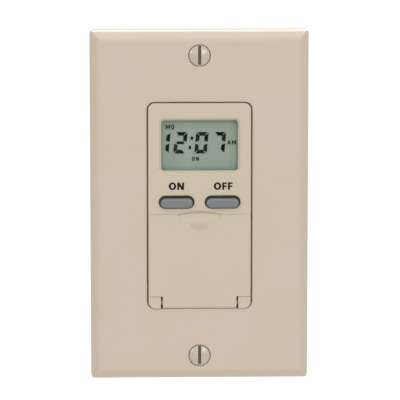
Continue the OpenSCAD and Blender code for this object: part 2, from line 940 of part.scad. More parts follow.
// Thumb scoop: a round hollow, deepest at the door's top edge, inside a tapering outline
module thumb_scoop() {
    scoop_flare = 0.4;
    scoop_top_w = door_tab_w + 2 * scoop_flare;
    scoop_foot_w = 10.4;
    scoop_h = 3.4;
    scoop_r = (pow(scoop_h, 2) + pow(scoop_depth, 2)) / (2 * scoop_depth);
    foot_z = door_tab_top - scoop_h;
    intersection() {
        slab(face_y - past, face_y + scoop_depth + past)
            polygon([
                [-scoop_top_w / 2, door_tab_top + past],
                [scoop_top_w / 2, door_tab_top + past],
                [scoop_foot_w / 2, foot_z],
                [-scoop_foot_w / 2, foot_z]
            ]);
        bar(-scoop_top_w, scoop_top_w)
            difference() {
                translate([face_y - past, foot_z - past])
                    square([scoop_depth + 2 * past, scoop_h + 3 * past]);
                translate([face_y + scoop_r, foot_z])
                    circle(r = scoop_r, $fn = 180);
            }
    }
}

// Grip ribs below the scoop, shorter towards the bottom
module grip_ribs() {
    rib_h = 0.45;
    rib_pitch = 0.95;
    rib_lengths = [5.7, 5.1, 2.5];
    grip_drop = 4.2;
    first_z = door_tab_top - grip_drop;
    for (i = [0 : len(rib_lengths) - 1])
        slab(face_y - grip_rib_rise, face_y + eps)
            translate([0, first_z - i * rib_pitch])
                pill(rib_lengths[i], rib_h);
}

// Flip-down door with moulded hinge pins, catch and stiffening ribs
module door() {
    catch_w = 4;
    catch_t = 0.8;
    catch_reach = 1.4;
    catch_z = step_top - step_t - free_gap;
    rib_w = 1;
    rib_reach = 0.8;
    rib_inset = 1.4;
    rib_rise = 1;
    rib_x = inner_w / 2 - rib_inset;
    rib_top = catch_z - catch_t;
    rib_foot = shoulder_z + rib_rise;
    color(ivory) {
        difference() {
            union() {
                slab(face_y, door_back)
                    door_outline();
                bar(-tongue_w / 2, tongue_w / 2) {
                    translate([pivot_y, pivot_z])
                        circle(r = knuckle_r);
                    translate([face_y, pivot_z])
                        square([door_t, knuckle_r]);
                }
            }
            thumb_scoop();
        }
        grip_ribs();
        bar(-tongue_w / 2 - hinge_pin_l, tongue_w / 2 + hinge_pin_l)
            translate([pivot_y, pivot_z])
                circle(d = hinge_pin_d);
        slab(door_back - eps, door_back + catch_reach)
            translate([0, catch_z - catch_t / 2])
                square([catch_w, catch_t], center = true);
        for (x = [-1, 1])
            slab(door_back - eps, door_back + rib_reach)
                translate([x * rib_x, (rib_top + rib_foot) / 2])
                    square([rib_w, rib_top - rib_foot], center = true);
    }
}

// Slide-in tray for the back-up cell, open at the rear
module battery_tray() {
    pull_w = 6;
    pull_h = 1.2;
    pull_depth = 0.6;
    rim = 0.5;
    rim_r = 0.8;
    window = battery_d / 3;
    color(ivory)
    difference() {
        union() {
            slab(panel_front - tray_lip + tray_front_t, tray_end)
                translate([0, tray_z])
                    square([tray_w, tray_h], center = true);
            slab(panel_front - tray_lip, panel_front - tray_gap)
                translate([0, tray_z])
                    round_rect(tray_w + 2 * rim, tray_h + 2 * rim, rim_r);
            slab(panel_front - tray_gap - eps, tray_y)
                translate([0, tray_z])
                    square([tray_w, tray_h], center = true);
        }
        translate([0, battery_y, battery_bottom])
            cylinder(d = battery_d + 2 * running_fit, h = tray_h, $fn = 96);
        slab(battery_y, tray_end + past)
            translate([0, battery_bottom + tray_h / 2])
                square([battery_d + 2 * running_fit, tray_h], center = true);
        slab(battery_y - window, tray_end + past)
            translate([0, tray_z])
                square([window, 2 * tray_h], center = true);
        slab(panel_front - tray_lip - past, panel_front - tray_lip + pull_depth)
            translate([0, tray_z])
                pill(pull_w, pull_h);
    }
}

// Coin cell: wide can with a smaller cap below
module battery() {
    cap_t = 0.6;
    cap_inset = 1.2;
    color("silver")
    translate([0, battery_y, battery_bottom]) {
        cylinder(d = battery_d - 2 * cap_inset, h = cap_t + eps, $fn = 96);
        translate([0, 0, cap_t])
            cylinder(d = battery_d, h = battery_t - cap_t, $fn = 96);
    }
}

// Sprung contacts of the cell: a leaf under it and a strip behind it
module battery_contacts() {
    leaf_w = 4;
    leaf_l = 8;
    strip_side = 3;
    floor_z = tray_z - chute_inner_h / 2;
    rise = battery_bottom - floor_z;
    color("gold") {
        bar(-leaf_w / 2, leaf_w / 2)
            polygon([
                [battery_y - contact_t, battery_bottom - contact_t],
                [battery_y + contact_t, battery_bottom - contact_t],
                [battery_y + leaf_l / 2, floor_z],
                [battery_y + leaf_l, floor_z],
                [battery_y + leaf_l, floor_z + contact_t],
                [battery_y + leaf_l / 2 + contact_t, floor_z + contact_t],
                [battery_y + 2 * contact_t, battery_bottom - running_fit],
                [battery_y - contact_t, battery_bottom - running_fit]
            ]);
        slab(chute_end - contact_t, chute_end)
            translate([0, battery_bottom + battery_t / 2])
                square([strip_side, min(strip_side, rise + battery_t)], center = true);
    }
}

// Rear shell: chamfered back, screw bosses, board ledges and lead exits
module rear_housing() {
    hole_spare = 0.5;
    edge = [
        [0, 0],
        [0, housing_d - housing_chamfer],
        [housing_chamfer, housing_d]
    ];
    color([0.16, 0.16, 0.17])
    difference() {
        union() {
            difference() {
                edged_block(housing_w, housing_h, 0, housing_d, edge)
                    round_rect(housing_w, housing_h, housing_r);
                slab(-past, housing_inner)
                    round_rect(housing_inner_w, housing_inner_h, housing_r - housing_wall);
            }
            for (p = housing_holes)
                rod(p.x, p.y, housing_boss_r, 0, housing_boss_l);
            for (x = [-1, 1], z = [power_bottom + 2 * ledge_t, power_top - 2 * ledge_t])
                slab(power_back, housing_inner + eps)
                    translate([x * (housing_inner_w - ledge_reach) / 2, z])
                        square([ledge_reach + 2 * eps, ledge_t], center = true);
            slab(housing_d - eps, housing_d + lead_collar_h)
                lead_pattern(lead_hole_d / 2 + lead_collar_t);
        }
        for (p = housing_holes)
            rod(p.x, p.y, housing_screw_d / 2 + running_fit, -past, housing_screw_tip + hole_spare);
        slab(housing_inner - past, housing_d + lead_collar_h + past)
            lead_pattern(lead_hole_d / 2);
    }
}

module lead_pattern(r) {
    for (i = [0 : lead_count - 1])
        translate([(i - (lead_count - 1) / 2) * lead_pitch, lead_z])
            circle(r = r);
}

// Board on the housing's ledges
module power_board() {
    color(board_green)
    slab(power_front, power_back)
    difference() {
        translate([0, (power_top + power_bottom) / 2])
            square([power_w, power_top - power_bottom], center = true);
        header_pattern(header_hole_r);
    }
}

// Parts on the power board, placed from its lower left corner
relay_w = 15.5;
relay_l = 19;
part_gap = 2.5;
parts_left = -power_w / 2 + ledge_reach + part_gap;
parts_foot = power_bottom + part_gap;

module relay() {
    color([0.1, 0.25, 0.5])
    translate([parts_left + relay_w / 2, 0, parts_foot + relay_l / 2])
        slab(power_back, power_back + relay_h)
            round_rect(relay_w, relay_l, 0.6);
}

module film_capacitor() {
    film_w = 8;
    film_l = 17.5;
    film_h = 13;
    color("goldenrod")
    translate([parts_left + relay_w + part_gap + film_w / 2, 0, parts_foot + film_l / 2])
        slab(power_back, power_back + film_h)
            round_rect(film_w, film_l, 0.5);
}

module bulk_capacitor() {
    can_d = 10;
    can_h = 14;
    groove = 0.4;
    color([0.1, 0.1, 0.12])
    translate([parts_left + can_d / 2, power_back, parts_foot + relay_l + part_gap + can_d / 2])
        rotate([-90, 0, 0])
            difference() {
                cylinder(d = can_d, h = can_h);
                translate([0, 0, 2])
                    rotate_extrude()
                        translate([can_d / 2, 0])
                            circle(r = groove);
            }
}

// Disc that clamps surges, on two wire legs
module varistor() {
    disc_d = 10;
    disc_t = 4;
    leg_r = 0.4;
    leg_pitch = 5;
    lift = 2;
    x = parts_left + relay_w + part_gap + disc_t / 2;
    z = parts_foot + relay_l + part_gap + disc_d / 2;
    color("royalblue") {
        translate([x - disc_t / 2, power_back + lift + disc_d / 2, z])
            rotate([0, 90, 0])
                cylinder(d = disc_d, h = disc_t);
        for (s = [-1, 1])
            rod(x, z + s * leg_pitch / 2, leg_r, power_back, power_back + lift + disc_d / 3);
    }
}

// Pin header between the two boards
module board_header() {
    block_w = header_pins * header_pitch;
    pin_reach = 0.6;
    color([0.1, 0.1, 0.1]) {
        slab(board_back, power_front)
            translate([0, header_z])
                square([block_w, header_pitch], center = true);
        slab(board_front - pin_reach, power_back + pin_reach)
            header_pattern(header_pin_r);
    }
}

wall_plate();
plate_screws();
mounting_strap();
box_screws();
ground_screw();
front_bezel();
housing_screws();
lcd_lens();
lcd_cell();
lcd_reflector();
lcd_holder();
contact_strips();
control_board();
controller_chip();
watch_crystal();
board_screws();
tact_switches();
button(button_places[0]);  // on_button
plunger(button_places[0]);  // on_plunger
button(button_places[1]);  // off_button
plunger(button_places[1]);  // off_plunger
key(key_places[0]);  // mode_key
plunger(key_places[0]);  // mode_plunger
key(key_places[1]);  // day_key
plunger(key_places[1]);  // day_plunger
key(key_places[2]);  // minus_key
plunger(key_places[2]);  // minus_plunger
key(key_places[3]);  // plus_key
plunger(key_places[3]);  // plus_plunger
reset_key();
plunger(reset_place);  // reset_plunger
door();
battery_tray();
battery();
battery_contacts();
rear_housing();
power_board();
relay();
film_capacitor();
bulk_capacitor();
varistor();
board_header();
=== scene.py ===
import math

import bmesh
import bpy
from mathutils import Matrix, Vector


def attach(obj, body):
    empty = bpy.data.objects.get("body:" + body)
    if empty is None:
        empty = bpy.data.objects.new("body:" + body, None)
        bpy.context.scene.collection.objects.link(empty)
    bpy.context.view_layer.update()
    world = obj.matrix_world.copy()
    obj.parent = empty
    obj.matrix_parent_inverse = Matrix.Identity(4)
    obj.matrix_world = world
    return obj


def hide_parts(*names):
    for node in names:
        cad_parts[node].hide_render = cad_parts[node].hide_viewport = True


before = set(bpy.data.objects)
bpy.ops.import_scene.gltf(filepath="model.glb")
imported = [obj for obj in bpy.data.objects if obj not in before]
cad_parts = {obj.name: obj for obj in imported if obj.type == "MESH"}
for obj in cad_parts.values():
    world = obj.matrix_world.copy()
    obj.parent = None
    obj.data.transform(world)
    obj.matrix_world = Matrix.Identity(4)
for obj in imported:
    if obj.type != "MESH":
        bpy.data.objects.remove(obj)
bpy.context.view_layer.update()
print("frame loaded:", len(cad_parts), "nodes")

mm = 0.001  # pieces are drawn in millimetres and brought to metres when finished
bothSides = (-1, 1)
hinge = (-4.3, -31.21)  # Y and Z of the door's pins
past = 1  # a cutter stands this far out of the face that it cuts
far = 9  # a cutter that runs right through
bite = 0.05  # overlap of solids that are joined
deepBite = 0.1
slip = 0.01
tight = 0.005  # slack for points that lie exactly in a plane
facing = 0.9  # least share of a normal that looks along an axis
sharp = 25  # least angle of a crease, in degrees
square = 40


# Selecting and editing

def dropAll():
    bpy.ops.object.select_all(action="DESELECT")


def take(obj):
    dropAll()
    obj.select_set(True)
    bpy.context.view_layer.objects.active = obj


def settle():
    bpy.ops.object.transform_apply(location=True, rotation=True, scale=True)


def settled(name):
    obj = bpy.context.active_object
    obj.name = name
    settle()
    return obj


def put(obj, place=(0, 0, 0), turn=(0, 0, 0), scale=(1, 1, 1)):
    take(obj)
    obj.location, obj.rotation_euler, obj.scale = place, turn, scale
    settle()
    return obj


def modify(obj, kind, **settings):
    take(obj)
    change = obj.modifiers.new(kind, kind)
    for key, value in settings.items():
        setattr(change, key, value)
    bpy.ops.object.modifier_apply(modifier=change.name)


def openEdit(obj):
    take(obj)
    bpy.ops.object.mode_set(mode="EDIT")
    bpy.ops.mesh.select_all(action="DESELECT")


def closeEdit():
    bpy.ops.object.mode_set(mode="OBJECT")


def pickAll():
    bpy.ops.mesh.select_all(action="SELECT")


def pick(obj, mode, test):
    bpy.ops.mesh.select_mode(type=mode)
    bpy.ops.mesh.select_all(action="DESELECT")
    mesh = bmesh.from_edit_mesh(obj.data)
    for item in {"VERT": mesh.verts, "EDGE": mesh.edges, "FACE": mesh.faces}[mode]:
        if test(item):
            item.select_set(True)
    bmesh.update_edit_mesh(obj.data)


def pickFaces(obj, test):
    pick(obj, "FACE", lambda face: test(face.calc_center_median(), face.normal))


def pickEdges(obj, test):
    pick(obj, "EDGE", lambda edge: test(edge.verts[0].co, edge.verts[1].co))


def pickCreases(obj, test, least=sharp):
    def creased(edge):
        return edge.is_manifold and edge.calc_face_angle(0) > math.radians(least)
    pick(obj, "EDGE", lambda edge: creased(edge) and test(edge.verts[0].co, edge.verts[1].co))


def pickPoints(obj, test):
    pick(obj, "VERT", lambda point: test(point.co))


def near(a, b, slack=0.02):
    return abs(a - b) < slack


def alongY(a, b):
    return near(a.x, b.x) and near(a.z, b.z)


def atY(y, slack=0.02):
    return lambda a, b: near(a.y, y, slack) and near(b.y, y, slack)


def atTop(point):
    return point.z > 0


def atFoot(point):
    return point.z < -far


def soften(size, steps, clamp=True):
    bpy.ops.mesh.bevel(offset=size, segments=steps, profile=0.5, affect="EDGES", clamp_overlap=clamp)


def softenCreases(obj, test, size, steps, least=sharp):
    openEdit(obj)
    pickCreases(obj, test, least)
    soften(size, steps)
    closeEdit()


def drawOut(*move):
    bpy.ops.mesh.extrude_region_move(TRANSFORM_OT_translate={"value": move})


def shift(*move):
    bpy.ops.transform.translate(value=move)


def resize(value, centre):
    bpy.ops.transform.resize(value=value, center_override=centre)


def merge(distance):
    pickAll()
    bpy.ops.mesh.remove_doubles(threshold=distance)


def turnOutwards():
    pickAll()
    bpy.ops.mesh.normals_make_consistent(inside=False)


def taperFront(obj, move, wide, tall, grow, centre):
    # the front face, drawn out and made larger or smaller all round
    openEdit(obj)
    pickFaces(obj, lambda c, n: n.y < -facing)
    drawOut(0, move, 0)
    resize(((wide + grow) / wide, 1, (tall + grow) / tall), centre)
    closeEdit()


# Starting shapes, all in millimetres

def span(ends):
    # a single number stands for a span that is centred on zero
    return ends if isinstance(ends, (tuple, list)) else (-ends, ends)


def about(middle, half):
    return middle - half, middle + half


def onSide(side, inner, outer):
    return sorted((side * inner, side * outer))


def block(name, x, y, z):
    low, high = (Vector(corner) for corner in zip(span(x), span(y), span(z)))
    dropAll()
    bpy.ops.mesh.primitive_cube_add(size=1, location=(low + high) / 2)
    bpy.context.active_object.scale = high - low
    return settled(name)


def roundBlock(name, x, y, z, corner, steps=8, only=None):
    obj = block(name, x, y, z)
    openEdit(obj)
    pickEdges(obj, lambda a, b: alongY(a, b) and (only is None or only(a)))
    soften(corner, steps)
    merge(0.02)  # joins the two ends of a full round
    closeEdit()
    return obj


def rod(name, x, z, radius, front, back, sides=48, frontRadius=None):
    dropAll()
    bpy.ops.mesh.primitive_cone_add(
        vertices=sides, radius1=radius, radius2=radius if frontRadius is None else frontRadius,
        depth=back - front, location=(x, (front + back) / 2, z), rotation=(math.pi / 2, 0, 0))
    return settled(name)


def crossRod(name, axis, radius, x, sides=48):
    left, right = span(x)
    dropAll()
    bpy.ops.mesh.primitive_cylinder_add(
        vertices=sides, radius=radius, depth=right - left,
        location=((left + right) / 2, *axis), rotation=(0, math.pi / 2, 0))
    return settled(name)


def combine(obj, how, *tools):
    for tool in tools:
        modify(obj, "BOOLEAN", operation=how, solver="EXACT", object=tool)
        bpy.data.objects.remove(tool, do_unlink=True)
    return obj


def cut(obj, *tools):
    return combine(obj, "DIFFERENCE", *tools)


def fuse(obj, *tools):
    return combine(obj, "UNION", *tools)


def copyOf(obj, name, move=(0, 0, 0), flip=False):
    twin = obj.copy()
    twin.data = obj.data.copy()
    twin.name = name
    bpy.context.collection.objects.link(twin)
    put(twin, move, scale=(-1 if flip else 1, 1, 1))
    if flip:
        openEdit(twin)
        turnOutwards()
        closeEdit()
    return twin


def joinAll(name, *objs):
    take(objs[0])
    for obj in objs:
        obj.select_set(True)
    bpy.ops.object.join()
    objs[0].name = name
    return objs[0]


def threadOn(z, start, size):
    # one V of the thread is turned about its own axis by the Screw modifier
    pitch, root = size["pitch"], size["root"] - bite
    flat, steps = 0.04, 24
    dropAll()
    bpy.ops.mesh.primitive_circle_add(vertices=3, radius=1)
    obj = settled("wind")
    profile = ((root, 0, flat * pitch), (size["crest"], 0, pitch / 2), (root, 0, (1 - flat) * pitch))
    for point, place in zip(obj.data.vertices, profile):
        point.co = place
    turns = int((size["end"] - start) / pitch) - 1
    modify(obj, "SCREW", axis="Z", steps=steps, render_steps=steps, screw_offset=pitch,
           iterations=turns, use_merge_vertices=True)
    put(obj, (0, start, z), (-math.pi / 2, 0, 0))
    openEdit(obj)
    pickAll()
    bpy.ops.mesh.fill_holes(sides=0)  # the two ends of the winding
    turnOutwards()
    closeEdit()
    return obj


def pairOf(name, upper, z):
    return joinAll(name, upper, copyOf(upper, "lowerOne", (0, 0, -2 * z)))


def finishPiece(obj, finish, body="frame", stands=(), angle=32):
    put(obj, scale=(mm, mm, mm))
    bpy.ops.object.shade_smooth_by_angle(angle=math.radians(angle))
    modify(obj, "WEIGHTED_NORMAL", keep_sharp=True)
    obj.data.materials.clear()
    obj.data.materials.append(finishes[finish])
    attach(obj, body)
    if stands:
        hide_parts(*stands)


# Shader maths: a wire is a socket that can be used in an expression

class Wire:
    def __init__(self, maker, socket):
        self.maker = maker
        self.socket = socket

    def __add__(self, other):
        return self.maker.calc("ADD", self, other)

    def __radd__(self, other):
        return self.maker.calc("ADD", other, self)

    def __sub__(self, other):
        return self.maker.calc("SUBTRACT", self, other)

    def __rsub__(self, other):
        return self.maker.calc("SUBTRACT", other, self)

    def __mul__(self, other):
        return self.maker.calc("MULTIPLY", self, other)

    def __rmul__(self, other):
        return self.maker.calc("MULTIPLY", other, self)

    def __truediv__(self, other):
        return self.maker.calc("DIVIDE", self, other)

    def __rtruediv__(self, other):
        return self.maker.calc("DIVIDE", other, self)


class NodeMaker:
    def __init__(self, tree):
        self.tree = tree
        self.tree.nodes.clear()

    def node(self, kind, settings=None, values=None, out=0):
        made = self.tree.nodes.new("ShaderNode" + kind)
        for key, value in (settings or {}).items():
            setattr(made, key, value)
        for key, value in (values or {}).items():
            self.plug(made.inputs[key], value)
        return Wire(self, made.outputs[out])

    def plug(self, socket, value):
        if isinstance(value, Wire):
            self.tree.links.new(value.socket, socket)
        else:
            socket.default_value = value

    def calc(self, what, a, b):
        return self.node("Math", {"operation": what}, {0: a, 1: b})

    def clamp(self, wire):
        return self.node("Clamp", None, {0: wire})

    def mixColour(self, share, a, b):
        return self.node("Mix", {"data_type": "RGBA"}, {0: share, 6: a, 7: b}, out=2)


class Finish(NodeMaker):
    def __init__(self, name, constants):
        self.material = bpy.data.materials.new(name)
        self.material.use_nodes = True
        super().__init__(self.material.node_tree)
        self.shader = self.tree.nodes.new("ShaderNodeBsdfPrincipled")
        end = self.tree.nodes.new("ShaderNodeOutputMaterial")
        self.tree.links.new(self.shader.outputs["BSDF"], end.inputs["Surface"])
        for key, value in constants.items():
            self.shader.inputs[key].default_value = value
        self.place = self.node("TexCoord", out="Object")

    def feed(self, socket, value):
        self.plug(self.shader.inputs[socket], value)

    def along(self, axis):
        # the place along one axis, in millimetres
        return self.node("SeparateXYZ", None, {0: self.place}, out=axis) / mm

    def noise(self, grain, detail=2, stretch=None):
        # grain is the size of a spot in millimetres
        place = self.place
        if stretch:
            place = self.node("Mapping", None, {"Vector": self.place, "Scale": stretch})
        values = {"Vector": place, "Scale": 1 / (grain * mm), "Detail": detail, "Roughness": 0.55}
        return self.node("TexNoise", None, values, out="Fac")

    def spread(self, wire, low=0, high=1, start=0.3, end=0.7):
        values = {"Value": wire, "From Min": start, "From Max": end, "To Min": low, "To Max": high}
        return self.node("MapRange", None, values)

    def patches(self, grain, detail=2, stretch=None):
        return self.spread(self.noise(grain, detail, stretch))

    def bump(self, height, strength, depth):
        # depth is the height of the relief in millimetres
        values = {"Strength": strength, "Distance": depth * mm, "Height": height}
        self.feed("Normal", self.node("Bump", None, values))


def colour(red, green, blue):
    # screen values 0 to 255 to scene-linear
    def linear(value):
        value /= 255
        return value / 12.92 if value <= 0.04045 else ((value + 0.055) / 1.055) ** 2.4
    return linear(red), linear(green), linear(blue), 1.0


print("tools ready")


# Finishes: moulded plastics, with grains and depths in millimetres

plastics = {
    "ivoryPlate": {
        "gloss": 0.42, "drift": 19, "speck": 0.7, "speckShare": 0.06,
        "warm": colour(208, 191, 174), "cool": colour(206, 191, 171), "pale": colour(214, 198, 181),
        "rough": (0.22, 0.28), "skin": 0.5, "skinStrength": 0.025, "skinDepth": 0.02,
    },
    "ivoryFace": {
        "gloss": 0.4, "drift": 14, "speck": 0.6, "speckShare": 0.08,
        "warm": colour(206, 191, 169), "cool": colour(203, 190, 170), "pale": colour(211, 197, 178),
        "rough": (0.42, 0.52), "skin": 0.35, "skinStrength": 0.06, "skinDepth": 0.02,
    },
    "screwPaint": {
        "gloss": 1.0, "drift": 3, "speck": 0.4, "speckShare": 0.12,
        "warm": colour(197, 183, 164), "cool": colour(190, 176, 157), "pale": colour(207, 193, 175),
        "rough": (0.15, 0.22), "skin": 0.6, "skinStrength": 0.06, "skinDepth": 0.03,
        # painted shade: the paint darkens towards the floor of the slot, where shade falls
        "paintedShade": colour(88, 63, 22), "paintedShadeFrom": (-5.8, -5.2),
    },
    "keyGrey": {
        "ior": 1.47, "gloss": 0.9, "drift": 6, "speck": 0.35, "speckShare": 0.25,
        "warm": colour(113, 118, 118), "cool": colour(109, 116, 120), "pale": colour(124, 129, 129),
        "rough": (0.28, 0.36), "skin": 0.25, "skinStrength": 0.12, "skinDepth": 0.015,
    },
    "housingBlack": {
        "gloss": 0.4, "drift": 12, "speck": 0.5, "speckShare": 0.35,
        "warm": colour(42, 41, 41), "cool": colour(36, 37, 39), "pale": colour(56, 56, 57),
        "rough": (0.48, 0.66), "skin": 0.45, "skinStrength": 0.5, "skinDepth": 0.05,
    },
    "holderWhite": {
        "gloss": 0.4, "drift": 9, "speck": 0.5, "speckShare": 0.2,
        "warm": colour(231, 229, 222), "cool": colour(225, 227, 225), "pale": colour(240, 239, 235),
        "rough": (0.45, 0.58), "skin": 0.4, "skinStrength": 0.15, "skinDepth": 0.02,
    },
    "plungerBrown": {
        "gloss": 0.35, "drift": 2, "speck": 0.3, "speckShare": 0.3,
        "warm": colour(112, 62, 38), "cool": colour(98, 56, 36), "pale": colour(133, 80, 52),
        "rough": (0.4, 0.55), "skin": 0.2, "skinStrength": 0.15, "skinDepth": 0.01,
    },
    "relayBlue": {
        "gloss": 0.5, "drift": 7, "speck": 0.5, "speckShare": 0.2,
        "warm": colour(38, 84, 150), "cool": colour(32, 77, 148), "pale": colour(60, 108, 172),
        "rough": (0.3, 0.42), "skin": 0.6, "skinStrength": 0.12, "skinDepth": 0.02,
    },
    "filmYellow": {
        "gloss": 0.5, "drift": 5, "speck": 0.4, "speckShare": 0.25,
        "warm": colour(214, 172, 44), "cool": colour(204, 166, 50), "pale": colour(226, 192, 84),
        "rough": (0.28, 0.4), "skin": 0.8, "skinStrength": 0.2, "skinDepth": 0.03,
    },
    "canSleeve": {
        "gloss": 0.5, "drift": 5, "speck": 0.6, "speckShare": 0.2,
        "warm": colour(30, 32, 40), "cool": colour(24, 27, 36), "pale": colour(44, 47, 58),
        "rough": (0.22, 0.34), "skin": 0.7, "skinStrength": 0.12, "skinDepth": 0.02,
    },
}
# the two large buttons: the same grey, with painted shade in the gap round each cap
plastics["buttonGrey"] = dict(plastics["keyGrey"], paintedShade=colour(52, 36, 22), paintedShadeFrom=(-6.45, -5.75))
# the share below is the largest share of the painted shade colour in a recess
plasticMix = {
    "ior": 1.5, "paintedShade": 0.85, "driftWear": 0.4, "speckWear": 0.6, "skin": 0.7, "wave": 0.3, "waveGrain": 4,
}


def mouldedPlastic(name, look):
    finish = Finish(name, {"IOR": look.get("ior", plasticMix["ior"]), "Specular IOR Level": look["gloss"]})
    drift = finish.patches(look["drift"])
    speck = finish.patches(look["speck"], 3)
    tone = finish.mixColour(drift, look["warm"], look["cool"])
    tone = finish.mixColour(speck * look["speckShare"], tone, look["pale"])
    # painted shade: the colour darkens with depth behind the face, standing in for the shade in a recess such
    # as a screw slot or the gap round a button
    if "paintedShade" in look:
        share = finish.spread(finish.along("Y"), 0, plasticMix["paintedShade"], *look["paintedShadeFrom"])
        tone = finish.mixColour(share, tone, look["paintedShade"])
    finish.feed("Base Color", tone)
    wear = drift * plasticMix["driftWear"] + speck * plasticMix["speckWear"]
    finish.feed("Roughness", finish.spread(wear, *look["rough"], 0, 1))
    waves = finish.noise(look["skin"] * plasticMix["waveGrain"], 1)
    relief = finish.noise(look["skin"]) * plasticMix["skin"] + waves * plasticMix["wave"]
    finish.bump(relief, look["skinStrength"], look["skinDepth"])
    return finish.material


# Metals: cloudy, with fine drawn lines

metals = {
    "zincSteel": {
        "light": colour(206, 207, 204), "dark": colour(182, 185, 186), "cloud": 3.5,
        "line": 0.6, "run": (1, 1, 0.12), "rough": (0.3, 0.44), "lineStrength": 0.12,
    },
    "cellSteel": {
        "light": colour(214, 214, 210), "dark": colour(196, 197, 196), "cloud": 5,
        "line": 0.4, "run": (0.1, 1, 1), "rough": (0.2, 0.32), "lineStrength": 0.06,
    },
    "springBrass": {
        "light": colour(222, 188, 112), "dark": colour(196, 160, 88), "cloud": 3,
        "line": 0.4, "run": (0.2, 1, 1), "rough": (0.26, 0.38), "lineStrength": 0.08,
    },
    "greenScrew": {
        "light": colour(70, 148, 84), "dark": colour(42, 112, 62), "cloud": 1.6,
        "line": 0.5, "run": (1, 0.3, 1), "rough": (0.3, 0.46), "lineStrength": 0.14,
    },
}


def bareMetal(name, look):
    finish = Finish(name, {"Metallic": 1.0})
    cloud = finish.patches(look["cloud"], 3)
    lines = finish.patches(look["line"], 2, look["run"])
    finish.feed("Base Color", finish.mixColour(cloud, look["light"], look["dark"]))
    finish.feed("Roughness", finish.spread(cloud * 0.5 + lines * 0.5, *look["rough"], 0, 1))
    finish.bump(lines, look["lineStrength"], 0.02)
    return finish.material


# Inks of the display and the labels

inks = {
    "segmentBlack": {
        "dark": colour(5, 7, 6), "pale": colour(14, 17, 15), "rough": (0.5, 0.62), "gloss": 0.02,
    },
    "labelInk": {
        "dark": colour(28, 25, 27), "pale": colour(42, 39, 40), "rough": (0.45, 0.6), "gloss": 0.15,
    },
}


def inkBlack(name, look):
    finish = Finish(name, {"IOR": 1.45, "Specular IOR Level": look["gloss"]})
    patch = finish.patches(0.3, 3)
    finish.feed("Base Color", finish.mixColour(patch * 0.5, look["dark"], look["pale"]))
    finish.feed("Roughness", finish.spread(patch, *look["rough"], 0, 1))
    finish.bump(patch, 0.1, 0.005)
    return finish.material


# Finishes that only one kind of piece has

boardLook = {
    "mask": colour(22, 78, 48), "track": colour(50, 122, 76), "weave": colour(30, 92, 62),
    "tracks": 420.0, "wander": 0.35, "trackEdge": (0.04, 0.07), "rough": (0.26, 0.4),
}
rubberLook = {
    "dark": colour(40, 40, 44), "pale": colour(150, 152, 158), "layers": 900.0, "rough": (0.55, 0.7),
}
windowLook = {
    "clear": colour(226, 232, 228), "pale": colour(240, 243, 240), "haze": (0.004, 0.014), "hazeTone": 30,
}
displayLook = {
    "tone": colour(138, 155, 139), "reflectionTone": colour(151, 165, 154), "dim": colour(115, 130, 114),
    "right": 12.2, "top": 27.5, "shade": 1.1, "sideShade": 0.7, "rough": (0.3, 0.4),
    "reflectionWander": 1.6, "roofWander": 0.8, "roofDim": 0.8, "sideDim": 0.35, "cloudShare": 0.35,
    # painted reflections in the glass, as soft upright streaks of light
    "paintedReflections": ((-3.5, 1.1, 0.5), (8.7, 0.8, 0.45), (-10.8, 0.7, 0.2)),  # place, width, strength
}


def circuitBoard(name, look):
    # solder mask over copper: straight tracks show through as a paler green
    finish = Finish(name, {"IOR": 1.5, "Coat Weight": 0.3})
    tracks = {"Vector": finish.place, "Scale": look["tracks"], "Randomness": look["wander"]}
    cells = finish.node("TexVoronoi", {"feature": "DISTANCE_TO_EDGE"}, tracks, out="Distance")
    track = finish.spread(cells, 1, 0, *look["trackEdge"])
    mask = finish.mixColour(track, look["mask"], look["track"])
    weave = finish.patches(0.5)
    finish.feed("Base Color", finish.mixColour(weave * 0.3, mask, look["weave"]))
    finish.feed("Roughness", finish.spread(weave, *look["rough"], 0, 1))
    finish.bump(track * 0.6 + weave * 0.2, 0.3, 0.03)
    return finish.material


def rubberStrip(name, look):
    # elastomer contact strip: fine dark layers in a pale rubber
    finish = Finish(name, {"IOR": 1.42})
    bands = {"Vector": finish.place, "Scale": look["layers"]}
    layers = finish.node("TexWave", {"bands_direction": "X"}, bands, out="Fac")
    share = finish.spread(layers, 0, 1, 0.4, 0.6)
    finish.feed("Base Color", finish.mixColour(share, look["dark"], look["pale"]))
    finish.feed("Roughness", finish.spread(finish.noise(0.4), *look["rough"]))
    return finish.material


def displayGlass(name, look):
    # polariser over the reflector: painted reflections as soft upright streaks, and painted shade along the
    # upper edge and the sides under the window's lip
    finish = Finish(name, {"IOR": 1.5, "Specular IOR Level": 0.35})
    spot, high = finish.along("X"), finish.along("Z")
    wander = finish.noise(6) - 0.5
    reflectionGlow = 0.0
    # painted reflection: each streak lightens the colour towards the reflection tone
    for place, width, strength in look["paintedReflections"]:
        away = (spot + wander * look["reflectionWander"] - place) / width
        reflectionGlow = reflectionGlow + strength / (1 + away * away)
    cloud = finish.spread(finish.noise(7, 3), 0, look["cloudShare"])
    tone = finish.mixColour(finish.clamp(reflectionGlow + cloud), look["tone"], look["reflectionTone"])
    # painted shade: darker under the window's lip, along the upper edge and along both sides
    roofShade = finish.spread(high + wander * look["roofWander"], 0, look["roofDim"],
                         look["top"] - look["shade"], look["top"])
    aside = finish.node("Math", {"operation": "ABSOLUTE"}, {0: spot})
    edge = finish.spread(aside, 0, look["sideDim"], look["right"] - look["sideShade"], look["right"])
    finish.feed("Base Color", finish.mixColour(finish.calc("MAXIMUM", roofShade, edge), tone, look["dim"]))
    finish.feed("Roughness", finish.spread(finish.noise(1.5), *look["rough"]))
    return finish.material


def clearWindow(name, look):
    # moulded clear plastic, with faint flow haze
    finish = Finish(name, {"IOR": 1.49, "Roughness": 0.06})
    haze = finish.spread(finish.noise(5), *look["haze"])
    finish.feed("Base Color", finish.mixColour(haze * look["hazeTone"], look["clear"], look["pale"]))
    finish.feed("Alpha", haze)
    return finish.material


